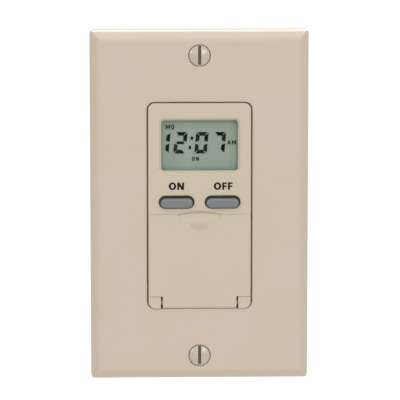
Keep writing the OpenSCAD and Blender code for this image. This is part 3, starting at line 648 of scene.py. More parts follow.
finishes = {
    "circuitBoard": circuitBoard("circuitBoard", boardLook),
    "rubberStrip": rubberStrip("rubberStrip", rubberLook),
    "displayGlass": displayGlass("displayGlass", displayLook),
    "clearWindow": clearWindow("clearWindow", windowLook),
}
for makeFinish, looks in ((mouldedPlastic, plastics), (bareMetal, metals), (inkBlack, inks)):
    for lookName, look in looks.items():
        finishes[lookName] = makeFinish(lookName, look)
print("finishes ready:", len(finishes))


# Wall plate: a shallow hollow pyramid with mitred bevels

wallPlate = {
    "halfWidth": 34.9, "halfHeight": 56.5, "front": -5.6, "rim": -2.2, "bevel": 2.7, "wall": 2.0,
    "edgeRound": 1.3, "edgeSteps": 6, "browShare": 0.8, "mitreShare": 0.16, "mitreCut": 0.13,
    "cornerRound": 1.7, "inside": -3.6, "insideBevel": 2.1, "sunk": 0.2,
    "openHalfWidth": 16.8, "openTop": 33.58, "openFoot": -33.15, "openCorner": 2.5, "openEdge": 0.26,
    "screwZ": 48.42, "sinkRadius": 3.6, "sinkStep": 0.5, "sinkDepth": 1.7, "holeRadius": 1.95,
    "toeHalfWidth": 12.0, "toeSweep": 2.22, "bossRadius": 2.95, "bossBack": -1.5,
    "ribX": 26.9, "ribHalf": 0.6, "ribLong": 33.35, "ribBack": -2.7,
}


def makeWallPlate(size):
    wide, tall, bevel = size["halfWidth"], size["halfHeight"], size["bevel"]
    front, rim, inside = size["front"], size["rim"], size["inside"]
    plate = block("wallPlate", wide, (rim, 0), tall)
    taperFront(plate, front - rim, wide, tall, -bevel, (0, front, 0))

    def onMitre(a, b):
        return near(a.y, front) != near(b.y, front) and min(a.y, b.y) < rim - past

    # each run of edges gets its own share of the rounding
    openEdit(plate)
    for test, share in ((atY(rim), 1), (atY(front), size["browShare"]), (onMitre, size["mitreShare"])):
        pickEdges(plate, test)
        bpy.ops.transform.edge_bevelweight(value=share)
    closeEdit()
    modify(plate, "BEVEL", limit_method="WEIGHT", width=size["edgeRound"], segments=size["edgeSteps"])
    inWide, inTall = wide - size["wall"], tall - size["wall"]
    hollow = block("hollow", inWide, (rim, past), inTall)
    taperFront(hollow, inside - rim, inWide, inTall, -size["insideBevel"], (0, inside, 0))
    cut(plate, hollow)
    # a narrow flat along each mitre
    lean = Vector((rim - front, -2 * bevel, rim - front)).normalized()
    for sideX in bothSides:
        for sideZ in bothSides:
            out = Vector((lean.x * sideX, lean.y, lean.z * sideZ))
            edge = Vector((sideX * (wide - bevel / 2), (front + rim) / 2, sideZ * (tall - bevel / 2)))
            turn = Vector((0, -1, 0)).rotation_difference(out).to_euler()
            plane = block("mitreFlat", far, (-far, 0), far)
            cut(plate, put(plane, edge - out * size["mitreCut"], turn))
    column = roundBlock("column", wide, (front - past, past), tall, size["cornerRound"])
    combine(plate, "INTERSECT", column)
    root = inside - size["sunk"]
    for side in bothSides:
        fuse(plate, rod("boss", 0, side * size["screwZ"], size["bossRadius"], root, size["bossBack"]))
        ribX = about(side * size["ribX"], size["ribHalf"])
        fuse(plate, block("rib", ribX, (root, size["ribBack"]), size["ribLong"]))
    cut(plate, roundBlock("opening", size["openHalfWidth"], (front - past, past),
                          (size["openFoot"], size["openTop"]), size["openCorner"], steps=10))
    for side in bothSides:
        z, step, hole = side * size["screwZ"], front + size["sinkStep"], size["holeRadius"]
        cut(plate, rod("sinkMouth", 0, z, size["sinkRadius"], front - past, step, sides=64),
            rod("sink", 0, z, hole, step - slip, front + size["sinkDepth"], sides=64,
                frontRadius=size["sinkRadius"]),
            rod("hole", 0, z, hole, front - past, past))

    def roundOpening(a, b):
        inOpening = (max(abs(a.x), abs(b.x)) < size["openHalfWidth"] + bite
                     and max(abs(a.z), abs(b.z)) < size["openTop"] + bite)
        return inOpening and near(a.y, front) and near(b.y, front)

    softenCreases(plate, roundOpening, size["openEdge"], steps=3)
    # hollow behind the lower lip, for the toe of the door to swing through
    cut(plate, crossRod("toeSweep", hinge, size["toeSweep"], size["toeHalfWidth"], sides=192))
    finishPiece(plate, "ivoryPlate", stands=["wall_plate"])


makeWallPlate(wallPlate)
print("wall plate made")


# Plate screws: oval heads, one slot, painted like the plate

plateScrew = {
    "z": 48.42, "front": -5.6, "headRadius": 3.32, "dome": 0.88, "rim": 0.4, "sink": 1.6, "neck": 1.6,
    "neckLong": 1.4, "slotHalf": 0.5, "slotDepth": 1.75, "edge": 0.08, "merge": 0.004, "edgeFrom": 0.02,
    "coreFrom": 1.0, "threadFrom": 0.3, "root": 1.45, "crest": 1.74, "pitch": 0.79, "end": 6.9,
}


def makePlateScrew(size):
    z, front, head, dome = size["z"], size["front"], size["headRadius"], size["dome"]
    crown = front - dome
    ball = (head ** 2 + dome ** 2) / (2 * dome)
    dropAll()
    bpy.ops.mesh.primitive_uv_sphere_add(segments=64, ring_count=96, radius=ball,
                                         rotation=(math.pi / 2, 0, 0), location=(0, crown + ball, z))
    screw = settled("upperPlateScrew")
    openEdit(screw)
    pickAll()
    bpy.ops.mesh.bisect(plane_co=(0, front, z), plane_no=(0, 1, 0), clear_outer=True, use_fill=True)
    # countersunk underside and neck, drawn out of the flat back of the dome
    pickFaces(screw, lambda c, n: n.y > facing and near(c.y, front))
    drawOut(0, size["rim"], 0)
    drawOut(0, size["sink"] - size["rim"], 0)
    share = size["neck"] / head
    resize((share, 1, share), (0, front + size["sink"], z))
    drawOut(0, size["neckLong"], 0)
    closeEdit()
    half, floor = size["slotHalf"], crown + size["slotDepth"]
    cut(screw, block("slot", half, (crown - past, floor), (z - head - past, z + head + past)))

    def onSlot(a, b):
        return (max(a.y, b.y) < min(front - size["edgeFrom"], floor - deepBite)
                and near(abs(a.x), half) and near(abs(b.x), half))

    openEdit(screw)
    merge(size["merge"])
    pickCreases(screw, onSlot)
    soften(size["edge"], steps=2)
    closeEdit()
    start = front + size["sink"] + size["coreFrom"]
    core = rod("core", 0, z, size["root"], start, size["end"], sides=32)
    return joinAll("upperPlateScrew", screw, core, threadOn(z, start + size["threadFrom"], size))


plateScrews = pairOf("plateScrews", makePlateScrew(plateScrew), plateScrew["z"])
finishPiece(plateScrews, "screwPaint", stands=["plate_screws"])
print("plate screws made")


# Front bezel: the moulded face, and the tub behind it that holds the keys, hinge and cell

frontBezel = {
    "front": -6.1, "back": -4.3, "halfWidth": 16.36, "halfHeight": 33.01, "faceTop": 33.25,
    "corner": 2.15, "cornerSteps": 10, "edge": 0.16, "shy": 0.02,
    "doorEdge": -2.38, "archTop": -1.43, "archRadius": 23.46,
    "windowZ": 19.64, "windowHalfWidth": 12.2, "windowHalfHeight": 8.05, "windowCorner": 0.9,
    "windowDeep": 0.6, "windowClear": 2, "lip": 0.75,
    "seat": -5.3, "seatZ": 19.46, "lensHalfWidth": 13.1, "lensHalfHeight": 8.95,
    "buttonX": 7.35, "buttonZ": 1.52, "holeHalfWidth": 5.7, "holeHalfHeight": 2.1,
    "wall": 1.5, "wallFront": -4.2, "wallBack": -0.15,
    "flangeHalfWidth": 22, "flangeHalfHeight": 34.75, "flangeFront": -2.7, "flangeBack": -1.2,
    "flangeLap": 0.3, "flangeScrewX": 19.45, "flangeScrewZ": 29, "flangeHole": 1.3, "flangeSink": 2.15,
    "stepTop": -1.99, "stepFoot": -3.39, "panelFront": -2.0, "panelBack": -0.6,
    "keyX": (-9, -3, 3, 9), "keyZ": -7.74, "keyHole": 2.35, "resetZ": -13.64, "resetHole": 1.15,
    "holeFront": -3, "holeBack": 0.5, "wornReach": 12, "wornEdge": 0.15,
    "trayZ": -24.01, "chuteHalfWidth": 11.3, "chuteHalfHeight": 2.75, "chuteWall": 1, "chuteEnd": 21.1,
    "bossX": 12.62, "bossRadius": 1.9, "bossHole": 0.95, "bossBack": 3.0,
    "upperBossZ": 6.06, "lowerBossZ": -15.14,
    "knuckle": 1.8, "earRadius": 2.58, "earIn": 12.4, "earOut": 16.33, "earEdge": 0.12,
    "pinHole": 0.85, "pinReach": 14.7, "pocketBack": -2.2, "pocketTop": -29.11, "pocketFoot": -33.31,
}


def windowCutter(size):
    wide, tall, seat = size["windowHalfWidth"], size["windowHalfHeight"], size["seat"]
    z, front = size["windowZ"], size["front"]
    depth = (seat, seat + size["windowDeep"])
    cutter = roundBlock("windowCutter", wide, depth, about(z, tall), size["windowCorner"], steps=6)
    taperFront(cutter, front - seat - bite, wide, tall, size["lip"], (0, front, z))
    return cutter


def makeTub(size):
    # walls behind the face: a deep ring above the door line, a lower one beside the door
    wide, tall, shy = size["halfWidth"], size["halfHeight"], size["shy"]
    inWide, inTall = wide - size["wall"], tall - size["wall"]
    corner, steps = size["corner"], size["cornerSteps"]
    upperY, upperZ = (size["back"] - bite, size["wallBack"]), (size["doorEdge"] + shy, tall - shy)
    upper = roundBlock("upperWall", wide - shy, upperY, upperZ, corner, steps, atTop)
    cut(upper, block("upperInside", inWide, far, (-far, inTall)))
    lowerY, lowerZ = (size["wallFront"], size["wallBack"] - shy), (-tall + shy, size["doorEdge"] + past)
    lower = roundBlock("lowerWall", wide - 2 * shy, lowerY, lowerZ, corner, steps, atFoot)
    cut(lower, block("lowerInside", inWide - shy, far, (-inTall, far)))
    flangeFront, flangeBack, lap = size["flangeFront"], size["flangeBack"], size["flangeLap"]
    flange = roundBlock("flange", size["flangeHalfWidth"], (flangeFront, flangeBack),
                        size["flangeHalfHeight"], corner)
    cut(flange, block("flangeInside", inWide + lap, far, inTall + lap))
    hole, sink = size["flangeHole"], size["flangeSink"]
    for x in span(size["flangeScrewX"]):
        for z in span(size["flangeScrewZ"]):
            cut(flange, rod("flangeHole", x, z, hole, -far, far, sides=32),
                rod("flangeSink", x, z, hole, flangeFront - slip, flangeBack + slip, sides=32,
                    frontRadius=sink))
    panelFront, panelBack = size["panelFront"], size["panelBack"]
    step = block("step", inWide + bite, (size["wallFront"] + shy, panelBack - shy),
                 (size["stepFoot"], size["stepTop"]))
    panel = block("panel", inWide + deepBite, (panelFront, panelBack),
                  (-inTall - deepBite, size["stepTop"] - deepBite))
    wall = size["chuteWall"]
    chute = block("chute", size["chuteHalfWidth"] + wall, (panelFront + deepBite, size["chuteEnd"] + wall),
                  about(size["trayZ"], size["chuteHalfHeight"] + wall))
    return upper, lower, flange, step, panel, chute


def makeFrontBezel(size):
    wide, tall, front, back = size["halfWidth"], size["halfHeight"], size["front"], size["back"]
    corner, steps, archTop = size["corner"], size["cornerSteps"], size["archTop"]
    panelFront, panelBack = size["panelFront"], size["panelBack"]
    onFront, onPanel = atY(front, tight), atY(panelFront, tight)
    bezel = roundBlock("frontBezel", wide, (front, back), (size["doorEdge"], size["faceTop"]),
                       corner, steps, atTop)
    arch = size["archRadius"]
    cut(bezel, rod("arch", 0, archTop - arch, arch, front - past, back + past, sides=256), windowCutter(size))
    softenCreases(bezel, lambda a, b: onFront(a, b) and max(a.z, b.z) > archTop, size["edge"], steps=3)
    cut(bezel, block("lensSeat", size["lensHalfWidth"], (size["seat"], 0),
                     about(size["seatZ"], size["lensHalfHeight"])))
    holeZ = about(size["buttonZ"], size["holeHalfHeight"])
    for side in bothSides:
        holeX = about(side * size["buttonX"], size["holeHalfWidth"])
        cut(bezel, roundBlock("buttonHole", holeX, (front - past, 0), holeZ,
                              size["holeHalfHeight"] - slip, steps=14))
    windowFoot = size["windowZ"] - size["windowHalfHeight"] - size["windowClear"]

    def onButtonHole(a, b):
        return (onFront(a, b) and archTop < min(a.z, b.z) and max(a.z, b.z) < windowFoot
                and max(abs(a.x), abs(b.x)) < wide - past)

    softenCreases(bezel, onButtonHole, size["edge"], steps=3)
    fuse(bezel, *makeTub(size))
    bosses = ((size["upperBossZ"], back), (size["lowerBossZ"], panelBack))
    for x in span(size["bossX"]):
        for z, root in bosses:
            fuse(bezel, rod("boss", x, z, size["bossRadius"], root - bite, size["bossBack"], sides=32))
        for z, root in bosses:
            cut(bezel, rod("bossHole", x, z, size["bossHole"], 0, far, sides=24))
    # hinge ears, trimmed to the rounded foot of the face
    pivotY, pivotZ = hinge
    for side in bothSides:
        earX = onSide(side, size["earIn"], size["earOut"])
        ear = crossRod("ear", hinge, size["earRadius"], earX, sides=96)
        rootY = (pivotY, panelBack - 2 * size["shy"])
        fuse(ear, block("earRoot", earX, rootY, about(pivotZ, size["knuckle"])))
        trim = roundBlock("earTrim", size["earOut"] + slip, (front, far), (-tall, 0), corner, steps, atFoot)
        combine(ear, "INTERSECT", trim)
        softenCreases(ear, onFront, size["earEdge"], steps=3)
        fuse(bezel, ear)
    holeFront, holeBack = size["holeFront"], size["holeBack"]
    pocketZ, trayZ = (size["pocketFoot"], size["pocketTop"]), about(size["trayZ"], size["chuteHalfHeight"])
    cut(bezel, block("pocket", size["earIn"], (-far, size["pocketBack"]), pocketZ),
        crossRod("pinHole", hinge, size["pinHole"], size["pinReach"]),
        block("chuteInside", size["chuteHalfWidth"], (holeFront, size["chuteEnd"]), trayZ))
    for x in size["keyX"]:
        cut(bezel, rod("keyHole", x, size["keyZ"], size["keyHole"], holeFront, holeBack))
    cut(bezel, rod("resetHole", 0, size["resetZ"], size["resetHole"], holeFront, holeBack, sides=32))

    def onPanelHole(a, b):
        return onPanel(a, b) and max(abs(a.x), abs(b.x)) < size["wornReach"]

    # worn mould edges round the key holes and the mouth of the battery tray
    softenCreases(bezel, onPanelHole, size["wornEdge"], steps=2)
    finishPiece(bezel, "ivoryFace", stands=["front_bezel"])


makeFrontBezel(frontBezel)
print("front bezel made")


# Door: flips down on two moulded pins, with an arched tab, a thumb scoop and grip ribs

flipDoor = {
    "front": -6.1, "back": -4.5, "halfWidth": 16.32, "top": -2.44, "shoulder": -29.11,
    "tabTop": -1.49, "tabRadius": 23.4, "edge": 0.14, "edgeDepth": 0.75,
    "tongueHalfWidth": 11.8, "tongueBack": 0.02, "toeFoot": -33.08, "toeRadius": 2.15, "toeReach": 20,
    "knuckleHalfWidth": 11.78, "knuckle": 1.78, "earSweep": 2.8, "pinRadius": 0.8, "pinReach": 14.4,
    "scoopTop": 8.2, "scoopFoot": 5.2, "scoopHeight": 3.9, "scoopDeep": 1.2, "scoopOver": 0.6,
    "scoopRadius": 9.0, "scoopReach": 9.5, "scoopLift": 0.01,
    "ribLengths": (5.7, 5.1, 2.5), "ribHalf": 0.22, "ribTop": -5.6, "ribPitch": 0.88, "ribRise": 0.2,
    "ribSunk": 0.3, "ribEdge": 0.12,
    "catchHalf": 2, "catchTop": -3.69, "catchFoot": -4.49, "catchBack": -3.1,
    "stiffX": 13.42, "stiffHalf": 0.5, "stiffTop": -4.49, "stiffFoot": -28.11, "stiffBack": -3.7,
}


def makeDoor(size):
    front, back, wide, tongueWide = size["front"], size["back"], size["halfWidth"], size["tongueHalfWidth"]
    shoulder, tabTop, tab = size["shoulder"], size["tabTop"], size["tabRadius"]
    pivotY, pivotZ = hinge
    through = (front - past, back + past)
    door = block("flipDoor", wide, (front, back), (shoulder, tabTop))
    spare = block("spare", wide + past, through, (size["top"], tabTop + past))
    cut(spare, rod("tab", 0, tabTop - tab, tab, front - 2 * past, back + 2 * past, sides=256))
    cut(door, spare)
    # tongue with a squared toe, trimmed to the arc that it swings through
    tongue = block("tongue", tongueWide, (front, back + size["tongueBack"]),
                   (size["toeFoot"], shoulder + past))
    corner = block("corner", size["toeReach"], through, (size["toeFoot"] - past, pivotZ))
    cut(corner, crossRod("toeArc", hinge, size["toeRadius"], size["toeReach"] + past, sides=192))
    cut(tongue, corner)
    knuckle = crossRod("knuckle", hinge, size["knuckle"], size["knuckleHalfWidth"], sides=96)
    # shoulders hollowed underneath, so that they swing clear of the ears
    for side in bothSides:
        sweepX = onSide(side, tongueWide + deepBite, wide + past)
        cut(door, crossRod("sweep", hinge, size["earSweep"], sweepX, sides=96))
    fuse(door, tongue, knuckle)
    # scoop: rolls away from the face towards the top edge, inside a tapering outline
    foot, roll = tabTop - size["scoopHeight"], size["scoopRadius"]
    scoop = block("scoop", size["scoopTop"], (front - past, front + size["scoopDeep"]),
                  (foot, tabTop + size["scoopOver"]))
    openEdit(scoop)
    pickPoints(scoop, lambda p: p.z < foot + deepBite)
    resize((size["scoopFoot"] / size["scoopTop"], 1, 1), (0, front, foot))
    closeEdit()
    rollAxis = (front + roll - size["scoopLift"], foot)
    cut(scoop, crossRod("roll", rollAxis, roll, size["scoopReach"], sides=720))
    cut(door, scoop)

    def onFace(a, b):
        return (max(a.y, b.y) < front + size["edgeDepth"] and max(a.z, b.z) > shoulder - bite
                and min(a.z, b.z) < size["top"] - bite and min(abs(a.x), abs(b.x)) > tongueWide - deepBite)

    def onTongue(a, b):
        return (near(abs(a.x), tongueWide) and near(abs(b.x), tongueWide)
                and max(a.y, b.y) < pivotY + deepBite and max(a.z, b.z) < shoulder - bite)

    for test in (onFace, onTongue):
        softenCreases(door, test, size["edge"], steps=3, least=square)
    half, crest = size["ribHalf"], front - size["ribRise"]
    for place, length in enumerate(size["ribLengths"]):
        ribZ = about(size["ribTop"] - place * size["ribPitch"], half)
        rib = roundBlock("rib", length / 2, (crest, front + size["ribSunk"]), ribZ, half - tight, steps=6)
        softenCreases(rib, atY(crest), size["ribEdge"], steps=3, least=square)
        fuse(door, rib)
    fuse(door, block("catch", size["catchHalf"], (back - deepBite, size["catchBack"]),
                     (size["catchFoot"], size["catchTop"])))
    for side in bothSides:
        stiffX = about(side * size["stiffX"], size["stiffHalf"])
        fuse(door, block("stiffener", stiffX, (back - deepBite, size["stiffBack"]),
                         (size["stiffFoot"], size["stiffTop"])))
    fuse(door, crossRod("pins", hinge, size["pinRadius"], size["pinReach"]))
    finishPiece(door, "ivoryFace", "door", ["door"])


makeDoor(flipDoor)
print("door made")


# ON and OFF buttons: pills with a soft chamfer, a flange behind the face and a stem

pressButton = {
    "x": -7.35, "z": 1.085, "halfWidth": 5.15, "halfHeight": 1.56, "lift": 0.13, "front": -7.3,
    "capBack": -4.15, "chamfer": 0.85, "dish": 0.06, "dishRim": 0.25, "flat": 0.999,
    "flangeHalfWidth": 6.25, "flangeHalfHeight": 2.775, "flangeBack": -3.35,
    "stemRadius": 1.7, "stemBack": 0.4, "smooth": 40,
}


def makeButton(size):
    x, z, front = size["x"], size["z"], size["front"]
    half, capBack, flangeBack = size["halfHeight"], size["capBack"], size["flangeBack"]
    # the cap sits a little high on its flange
    button = roundBlock("onButton", about(x, size["halfWidth"]), (front, capBack + deepBite),
                        about(z + size["lift"], half), half - tight, steps=16)
    openEdit(button)
    pickCreases(button, atY(front), square)
    soften(size["chamfer"], steps=7, clamp=False)
    pickFaces(button, lambda c, n: near(c.y, front, tight) and n.y < -size["flat"])
    bpy.ops.mesh.inset(thickness=size["dishRim"])
    shift(0, size["dish"], 0)
    closeEdit()
    half = size["flangeHalfHeight"]
    flange = roundBlock("flange", about(x, size["flangeHalfWidth"]), (capBack, flangeBack),
                        about(z, half), half - tight, steps=12)
    stem = rod("stem", x, z, size["stemRadius"], flangeBack - deepBite, size["stemBack"])
    return fuse(button, flange, stem)


onButton = makeButton(pressButton)
offButton = copyOf(onButton, "offButton", flip=True)
for button, node in ((onButton, "on_button"), (offButton, "off_button")):
    finishPiece(button, "buttonGrey", node, [node], pressButton["smooth"])
print("buttons made")


# Programming keys behind the door: round caps, two of them marked with a bar and a cross

roundKey = {
    "radius": 2.1, "edge": 0.45, "flangeRadius": 2.7, "flangeFront": -0.45, "flangeBack": 0.15,
    "stemRadius": 1.7, "back": 0.4, "markHalf": 0.9, "markWide": 0.18, "markDepth": 0.12,
    # name, X, Z, radius, front and marks
    "keys": (
        ("mode", -9, -7.74, 2.1, -3.3, ""), ("day", -3, -7.74, 2.1, -3.3, ""),
        ("minus", 3, -7.74, 2.1, -3.3, "-"), ("plus", 9, -7.74, 2.1, -3.3, "-|"),
        ("reset", 0, -13.64, 0.9, -1.6, ""),
    ),
}


def makeRoundKey(name, x, z, radius, front, marks, size):
    flangeFront, flangeBack = size["flangeFront"], size["flangeBack"]
    key = rod(name + "Key", x, z, radius, front, flangeFront + bite)
    softenCreases(key, atY(front), size["edge"] * radius / size["radius"], steps=4, least=square)
    flangeRadius = radius + size["flangeRadius"] - size["radius"]
    fuse(key, rod("flange", x, z, flangeRadius, flangeFront, flangeBack),
         rod("stem", x, z, size["stemRadius"], flangeBack - bite, size["back"], sides=32))
    half, thin = size["markHalf"], size["markWide"]
    for mark in marks:
        # sunk into the cap, so that the key keeps its height
        wide, tall = (half, thin) if mark == "-" else (thin, half)
        depth = (front - past, front + size["markDepth"])
        cut(key, roundBlock("mark", about(x, wide), depth, about(z, tall), thin - tight, steps=4))
    finishPiece(key, "keyGrey", name + "_key", [name + "_key"])


for keySettings in roundKey["keys"]:
    makeRoundKey(*keySettings, roundKey)
print("keys made")


# Display: seven-bar digits, slanted, and the small words beside them

displayMarks = {
    "x": 0.16, "z": 19.76, "front": -4.07, "back": -4.01, "slant": 0.098,
    "digitZ": 0.58, "halfWidth": 1.98, "halfHeight": 3.45, "bar": 1.2, "gap": 0.37, "uprightGaps": 1.5,
    "cornerCut": 0.75, "middleCut": 0.36, "middleBar": 0.76, "middleReach": 0.74, "middleTip": 0.05,
    "digits": ((-11.65, "bc"), (-6.25, "abged"), (0.5, "abcdef"), (6.1, "abc")),
    "colon": ((-2.69, 2.08), (-3.05, -0.95)), "dotHalf": (0.4, 0.52), "dotCorner": 0.12,
    # word, X, Z, width and height
    "words": (
        ("MO", -9.56, 5.67, 2.7, 1.66), ("AM", 10.1, 0.67, 2.74, 1.45), ("ON", -1.43, -4.58, 2.3, 1.42),
    ),
    "stroke": 0.3, "strokeLap": 0.8, "letterGap": 0.36,
    "share": {"M": 1.45, "O": 0.97, "A": 1.25, "N": 1.0},
    # each letter is drawn in a unit cell as runs of corner points
    "letters": {
        "M": (((0, 0), (0, 1), (0.5, 0.3), (1, 1), (1, 0)),),
        "O": ((
            (0.38, 0), (0, 0.3), (0, 0.7), (0.38, 1), (0.62, 1), (1, 0.7), (1, 0.3), (0.62, 0), (0.38, 0),
        ),),
        "A": (((0, 0), (0.5, 1), (1, 0)), ((0.2, 0.32), (0.8, 0.32))),
        "N": (((0, 0), (0, 1), (1, 0), (1, 1)),),
    },
}


def flatBar(length, thick, size):
    return block("bar", length / 2, (size["front"], size["back"]), thick / 2)


def makeBar(length, thick, cuts, size):
    # a bar along X whose lower long side is shortened at each end to its own slope
    bar = flatBar(length, thick, size)
    openEdit(bar)
    for side, slope in zip(bothSides, cuts):
        pickPoints(bar, lambda p: p.z < 0 and p.x * side > 0)
        shift(-side * size[slope] * thick, 0, 0)
    closeEdit()
    return bar


def makeMiddleBar(length, thick, size):
    bar = flatBar(length - thick, thick, size)
    openEdit(bar)
    for side in bothSides:
        pickFaces(bar, lambda c, n: n.x * side > facing)
        drawOut(side * thick / 2, 0, 0)
        resize((1, 1, size["middleTip"]), (0, 0, 0))
    closeEdit()
    return bar


def placeBar(bar, turn, x, z):
    return put(bar, (x, 0, z), (0, turn, 0))


def makeDigit(lit, size):
    wide, tall, thick, gap = size["halfWidth"], size["halfHeight"], size["bar"], size["gap"]
    across = 2 * wide - 2 * gap
    upright = tall - size["uprightGaps"] * gap
    edgeX, edgeZ, midZ = wide - thick / 2, tall - thick / 2, tall / 2
    quarter = math.pi / 2
    mitred, first, last = ("cornerCut",) * 2, ("cornerCut", "middleCut"), ("middleCut", "cornerCut")
    places = {
        "a": (across, mitred, 0, 0, edgeZ), "d": (across, mitred, math.pi, 0, -edgeZ),
        "b": (upright, first, quarter, edgeX, midZ), "c": (upright, last, quarter, edgeX, -midZ),
        "e": (upright, first, -quarter, -edgeX, -midZ), "f": (upright, last, -quarter, -edgeX, midZ),
    }
    bars = []
    for letter in lit:
        if letter == "g":
            bars.append(makeMiddleBar(across - thick + size["middleReach"], thick * size["middleBar"], size))
        else:
            length, cuts, *place = places[letter]
            bars.append(placeBar(makeBar(length, thick, cuts, size), *place))
    return joinAll("digit", *bars)


def makeStrokeWord(word, x, z, width, height, size):
    thick, gap, share = size["stroke"], size["letterGap"], size["share"]
    unit = (width - (len(word) - 1) * gap) / sum(share[letter] for letter in word)
    left = x - width / 2 + thick / 2
    foot = z - height / 2 + thick / 2
    bars = []
    for letter in word:
        cell = unit * share[letter]
        for run in size["letters"][letter]:
            points = [(left + u * (cell - thick), foot + v * (height - thick)) for u, v in run]
            for (startX, startZ), (endX, endZ) in zip(points, points[1:]):
                length = math.hypot(endX - startX, endZ - startZ) + thick * size["strokeLap"]
                turn = math.atan2(startZ - endZ, endX - startX)
                middle = (startX + endX) / 2, (startZ + endZ) / 2
                bars.append(placeBar(flatBar(length, thick, size), turn, *middle))
        left += cell + gap
    return joinAll("word", *bars)


def makeDisplay(size):
    parts = []
    for x, lit in size["digits"]:
        digit = makeDigit(lit, size)
        digit.data.transform(Matrix.Translation((x, 0, 0)))
        parts.append(digit)
    half, tall = size["dotHalf"]
    for x, z in size["colon"]:
        parts.append(roundBlock("dot", about(x, half), (size["front"], size["back"]),
                                about(z - size["digitZ"], tall), size["dotCorner"], steps=3))
    digits = joinAll("displayMarks", *parts)
    slant = Matrix.Identity(4)
    slant[0][2] = size["slant"]
    digits.data.transform(Matrix.Translation((0, 0, size["digitZ"])) @ slant)
    words = [makeStrokeWord(*word, size) for word in size["words"]]
    marks = joinAll("displayMarks", digits, *words)
    marks.data.transform(Matrix.Translation((size["x"], 0, size["z"])))
    finishPiece(marks, "segmentBlack")


makeDisplay(displayMarks)


# Labels above the buttons

labels = {
    "front": -6.118, "back": -6.06, "tall": 2.38, "overshoot": 0.05, "shy": 0.004, "gap": 0.3,
    "wide": {"O": 2.42, "N": 2.2, "F": 1.52}, "side": 0.74, "cap": 0.55, "upright": 0.65, "slash": 0.78,
    "arm": 0.5, "armZ": -0.06, "armShort": 0.1,
    "words": (("ON", -7.41, 6.65), ("OFF", 7.52, 6.64)),
}


def makeLetter(letter, left, z, size):
    front, back, shy, upright = size["front"], size["back"], size["shy"], size["upright"]
    right = left + size["wide"][letter]
    foot, top = about(z, size["tall"] / 2)
    if letter == "O":
        wide, tall = (right - left) / 2, size["tall"] / 2 + size["overshoot"]
        ring = rod("ring", 0, 0, 1, front, back)
        hole = rod("hole", 0, 0, 1, front - past, back + past)
        put(ring, (left + wide, 0, z), scale=(wide, 1, tall))
        put(hole, (left + wide, 0, z), scale=(wide - size["side"], 1, tall - size["cap"]))
        return cut(ring, hole)
    stem = block("stem", (left, left + upright), (front, back), (foot, top))
    if letter == "N":
        post = block("post", (right - upright, right), (front, back), (foot, top))
        slash = block("slash", (left + shy, left + size["slash"] - shy), (front + shy, back - shy),
                      (foot + shy, top - shy))
        openEdit(slash)
        pickPoints(slash, lambda p: p.z < z)
        shift(right - left - size["slash"], 0, 0)
        closeEdit()
        return fuse(stem, post, slash)
    arm = size["arm"]
    arms = ((shy, top, right), (2 * shy, z + size["armZ"] + arm / 2, right - size["armShort"]))
    for inset, armTop, end in arms:
        fuse(stem, block("arm", (left + upright / 2, end), (front + inset, back - inset),
                         (armTop - arm, armTop - shy)))
    return stem


def makeWord(word, x, z, size):
    wide, gap = size["wide"], size["gap"]
    left = x - (sum(wide[letter] for letter in word) + gap * (len(word) - 1)) / 2
    letters = []
    for letter in word:
        letters.append(makeLetter(letter, left, z, size))
        left += wide[letter] + gap
    return joinAll("label", *letters)


buttonLabels = joinAll("buttonLabels", *[makeWord(*word, labels) for word in labels["words"]])
finishPiece(buttonLabels, "labelInk")
print("display and labels made")


# Rear shell: hollow box with rounded back edges, cooling grooves, a moulded panel and collars for the leads

rearShell = {
    "halfWidth": 22.25, "halfHeight": 35, "back": 28.4, "corner": 3, "backEdge": 1.6, "wall": 1.8,
    "insideCorner": 1.2, "bossX": 19.45, "bossZ": 29, "bossRadius": 2.7, "bossFront": 0.02, "bossEnd": 10.4,
    "boltRadius": 1.15, "boltEnd": 8.9,
    "ledgeZ": (-15.96, 22), "ledgeHalf": 1, "ledgeReach": 2, "ledgeFront": 9.7, "ledgeSunk": 0.5,
    "leadCount": 4, "leadPitch": 6.2, "leadZ": -29.4, "leadRadius": 2, "leadPast": 3,
    "collarRadius": 2.8, "collarBack": 29.4, "collarSunk": 0.3, "collarEdge": 0.25,
    "panelHalfWidth": 15.5, "panelFoot": -20, "panelTop": 24, "panelDepth": 0.4, "panelCorner": 1.6,
    "panelEdge": 0.2, "grooveCount": 11, "groovePitch": 2.4, "grooveZ": -7, "grooveHalf": 0.5,
    "grooveDepth": 0.6, "groovePast": 2, "grooveFront": 9, "grooveBack": 23.5,
    "seamFront": 2.3, "seamBack": 2.7, "seamDepth": 0.3,
}


def makeGrooves(side, size):
    edge = size["halfWidth"] - size["grooveDepth"]
    grooves = []
    for place in range(size["grooveCount"]):
        middle = size["grooveZ"] + place * size["groovePitch"]
        groove = block("groove", onSide(side, edge, edge + size["groovePast"]),
                       (size["grooveFront"], size["grooveBack"]), about(middle, size["grooveHalf"]))
        openEdit(groove)
        pickEdges(groove, lambda a, b: near(a.y, b.y) and near(a.z, b.z))
        soften(size["grooveHalf"] - bite, steps=4)
        closeEdit()
        grooves.append(groove)
    return joinAll("grooves", *grooves)


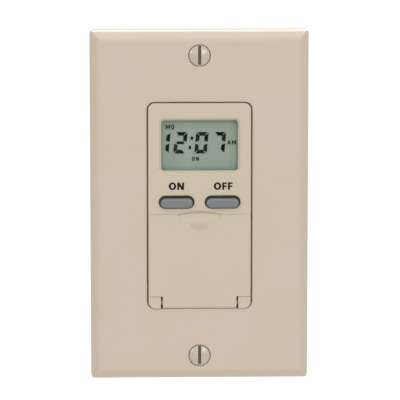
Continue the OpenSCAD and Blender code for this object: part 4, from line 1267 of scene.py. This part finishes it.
def makeRearShell(size):
    wide, tall, back, wall = size["halfWidth"], size["halfHeight"], size["back"], size["wall"]
    inWide, inTall, inBack = wide - wall, tall - wall, back - wall
    shell = roundBlock("rearShell", wide, (0, back), tall, size["corner"])
    softenCreases(shell, atY(back), size["backEdge"], steps=6)
    # parting line all round, a little behind the strap
    deep = size["seamDepth"]
    seam = block("seam", wide + past, (size["seamFront"], size["seamBack"]), tall + past)
    cut(seam, roundBlock("seamCore", wide - deep, (-past, back), tall - deep, size["corner"], steps=11))
    cut(shell, seam, roundBlock("inside", inWide, (-past, inBack), inTall, size["insideCorner"], steps=4))
    for side in bothSides:
        cut(shell, makeGrooves(side, size))
    panelWide, onBack = size["panelHalfWidth"], atY(back, tight)
    cut(shell, roundBlock("panel", panelWide, (back - size["panelDepth"], back + past),
                          (size["panelFoot"], size["panelTop"]), size["panelCorner"], steps=6))

    def roundPanel(a, b):
        return onBack(a, b) and max(abs(a.x), abs(b.x)) < panelWide + bite

    softenCreases(shell, roundPanel, size["panelEdge"], steps=3, least=square)
    for side in bothSides:
        x = side * size["bossX"]
        for z in span(size["bossZ"]):
            fuse(shell, rod("boss", x, z, size["bossRadius"], size["bossFront"], size["bossEnd"], sides=32))
            cut(shell, rod("bolt", x, z, size["boltRadius"], -past, size["boltEnd"], sides=24))
        sunk = size["ledgeSunk"]
        ledgeX = onSide(side, inWide - size["ledgeReach"], inWide + sunk)
        for z in size["ledgeZ"]:
            fuse(shell, block("ledge", ledgeX, (size["ledgeFront"], inBack + sunk),
                              about(z, size["ledgeHalf"])))
    z, collarBack = size["leadZ"], size["collarBack"]
    for place in range(size["leadCount"]):
        x = (place - (size["leadCount"] - 1) / 2) * size["leadPitch"]
        collar = rod("collar", x, z, size["collarRadius"], back - size["collarSunk"], collarBack)
        softenCreases(collar, atY(collarBack), size["collarEdge"], steps=3)
        fuse(shell, collar)
        cut(shell, rod("leadHole", x, z, size["leadRadius"], inBack - past, back + size["leadPast"],
                       sides=40))
    finishPiece(shell, "housingBlack", stands=["rear_housing"])


makeRearShell(rearShell)
print("rear shell made")


# Box screws: round slotted heads on long machine threads

boxScrew = {
    "z": 41.67, "headRadius": 3.4, "headFront": -3.0, "headBack": -1.2, "headRound": 0.7, "slotHalf": 0.5,
    "slotDepth": 0.9, "neck": 1.5, "neckBack": 0.3, "root": 1.43, "crest": 1.74, "pitch": 0.79, "end": 24.0,
    "endEdge": 0.4,
}


def makeBoxScrew(size):
    z, front, neckBack, end = size["z"], size["headFront"], size["neckBack"], size["end"]
    screw = rod("upperBoxScrew", 0, z, size["headRadius"], front, size["headBack"], sides=64)
    softenCreases(screw, atY(front), size["headRound"], steps=5, least=square)
    fuse(screw, rod("neck", 0, z, size["neck"], size["headBack"] - deepBite, neckBack, sides=40))
    cut(screw, block("slot", far, (front - past, front + size["slotDepth"]), about(z, size["slotHalf"])))
    core = rod("core", 0, z, size["root"], neckBack - deepBite, end, sides=32)
    softenCreases(core, atY(end), size["endEdge"], steps=2, least=square)
    return joinAll("upperBoxScrew", screw, core, threadOn(z, neckBack, size))


boxScrews = pairOf("boxScrews", makeBoxScrew(boxScrew), boxScrew["z"])
finishPiece(boxScrews, "zincSteel", stands=["box_screws"])
print("box screws made")


# Pieces that keep their solid: a finish each, and softened edges where they show

carried = {
    "zincSteel": ["mounting_strap", "housing_screws", "board_screws", "watch_crystal"],
    "greenScrew": ["ground_screw"],
    "clearWindow": ["lcd_lens"],
    "displayGlass": ["lcd_cell"],
    "holderWhite": ["lcd_reflector", "lcd_holder"],
    "rubberStrip": ["contact_strips"],
    "circuitBoard": ["control_board", "power_board"],
    "housingBlack": ["controller_chip", "tact_switches", "board_header"],
    "ivoryFace": ["battery_tray"],
    "cellSteel": ["battery"],
    "springBrass": ["battery_contacts"],
    "relayBlue": ["relay", "varistor"],
    "filmYellow": ["film_capacitor"],
    "canSleeve": ["bulk_capacitor"],
    "plungerBrown": [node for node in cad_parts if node.endswith("_plunger")],
}
softEdges = {
    "mounting_strap": 0.12, "battery_tray": 0.2, "housing_screws": 0.06, "ground_screw": 0.15,
    "relay": 0.3, "film_capacitor": 0.4,
}
weldReach = 0.002


def dressNode(node, finish):
    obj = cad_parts[node]
    obj.data.materials.clear()
    obj.data.materials.append(finishes[finish])
    if node in softEdges:
        obj.modifiers.new("weld", "WELD").merge_threshold = weldReach * mm
        edge = obj.modifiers.new("edge", "BEVEL")
        edge.width = softEdges[node] * mm
        edge.segments = 2
        edge.limit_method = "ANGLE"
        edge.angle_limit = math.radians(square)


for finish, nodes in carried.items():
    for node in nodes:
        dressNode(node, finish)
print("carried nodes dressed:", sum(len(nodes) for nodes in carried.values()))


# Camera, floor and light, in metres

cameraPlace = {
    "azimuth": -1.7, "elevation": 8.6, "distance": 1.018, "lens": 287.2, "sensor": 36,
    "aim": (0.00012, -0.0061, 0.00219), "clip": (0.01, 50),
}
studio = {
    "ambient": 0.66, "floorZ": -0.25, "floorSize": 14, "floorGlow": 0.5, "floorTones": (0.76, 0.8),
    "floorDrift": 400, "rays": ("Is Camera Ray", "Is Glossy Ray", "Is Transmission Ray"),
    "lights": {
        "keyLight": {"power": 1.02, "size": 1.0, "place": (0.05, -0.95, 0.4)},
        "topLight": {"power": 0.5, "size": 0.12, "place": (0.0, -0.5, 0.86)},
        "backLight": {"power": 3.2, "size": 0.4, "place": (0.0, 0.45, 0.8)},
        "leftSpark": {"power": 0.9, "size": 0.1, "place": (-0.7, -0.36, 0.6)},
        "rightSpark": {"power": 0.9, "size": 0.1, "place": (0.7, -0.36, 0.6)},
        "leftGlint": {"power": 0.5, "size": 0.26, "place": (-0.72, -0.6, 0.29)},
        "rightGlint": {"power": 1.0, "size": 0.31, "place": (0.45, -0.85, 0.34)},
    },
}


def grey(value):
    return value, value, value, 1


def makeCamera(size):
    lean, turn = math.radians(size["elevation"]), math.radians(size["azimuth"])
    away = Vector((math.sin(turn) * math.cos(lean), -math.cos(turn) * math.cos(lean), math.sin(lean)))
    dropAll()
    bpy.ops.object.camera_add(location=Vector(size["aim"]) + away * size["distance"],
                              rotation=(math.pi / 2 - lean, 0, turn))
    camera = bpy.context.active_object
    camera.name = "photoCamera"
    camera.data.lens = size["lens"]
    camera.data.sensor_width = size["sensor"]
    camera.data.clip_start, camera.data.clip_end = size["clip"]
    bpy.context.scene.camera = camera


def makeLight(name, size):
    place = Vector(size["place"])
    dropAll()
    bpy.ops.object.light_add(type="AREA", location=place)
    light = bpy.context.active_object
    light.name = name
    light.rotation_euler = (-place).to_track_quat("-Z", "Y").to_euler()
    light.data.size = size["size"]
    light.data.energy = size["power"]


def makeStudio(size):
    world = bpy.data.worlds.new("whiteStudio")
    bpy.context.scene.world = world
    world.use_nodes = True
    maker = NodeMaker(world.node_tree)
    seen = maker.clamp(sum(maker.node("LightPath", out=name) for name in size["rays"]))
    strength = size["ambient"] + seen * (1 - size["ambient"])
    sky = maker.node("Background", None, {"Color": grey(1), "Strength": strength})
    end = maker.tree.nodes.new("ShaderNodeOutputWorld")
    maker.tree.links.new(sky.socket, end.inputs["Surface"])

    dropAll()
    bpy.ops.mesh.primitive_plane_add(size=size["floorSize"], location=(0, 0, size["floorZ"]))
    floor = bpy.context.active_object
    floor.name = "studioFloor"
    pale = Finish("paleFloor", {"Roughness": 0.9, "Emission Strength": 1})
    dark, light = size["floorTones"]
    pale.feed("Base Color", pale.mixColour(pale.patches(size["floorDrift"]), grey(dark), grey(light)))
    direct = pale.node("LightPath", out="Is Camera Ray")
    pale.feed("Emission Color", pale.mixColour(direct, grey(0), grey(size["floorGlow"])))
    floor.data.materials.append(pale.material)


makeCamera(cameraPlace)
makeStudio(studio)
for lightName, lightSize in studio["lights"].items():
    makeLight(lightName, lightSize)
bpy.context.scene.view_settings.view_transform = "Standard"
print("camera and studio ready")
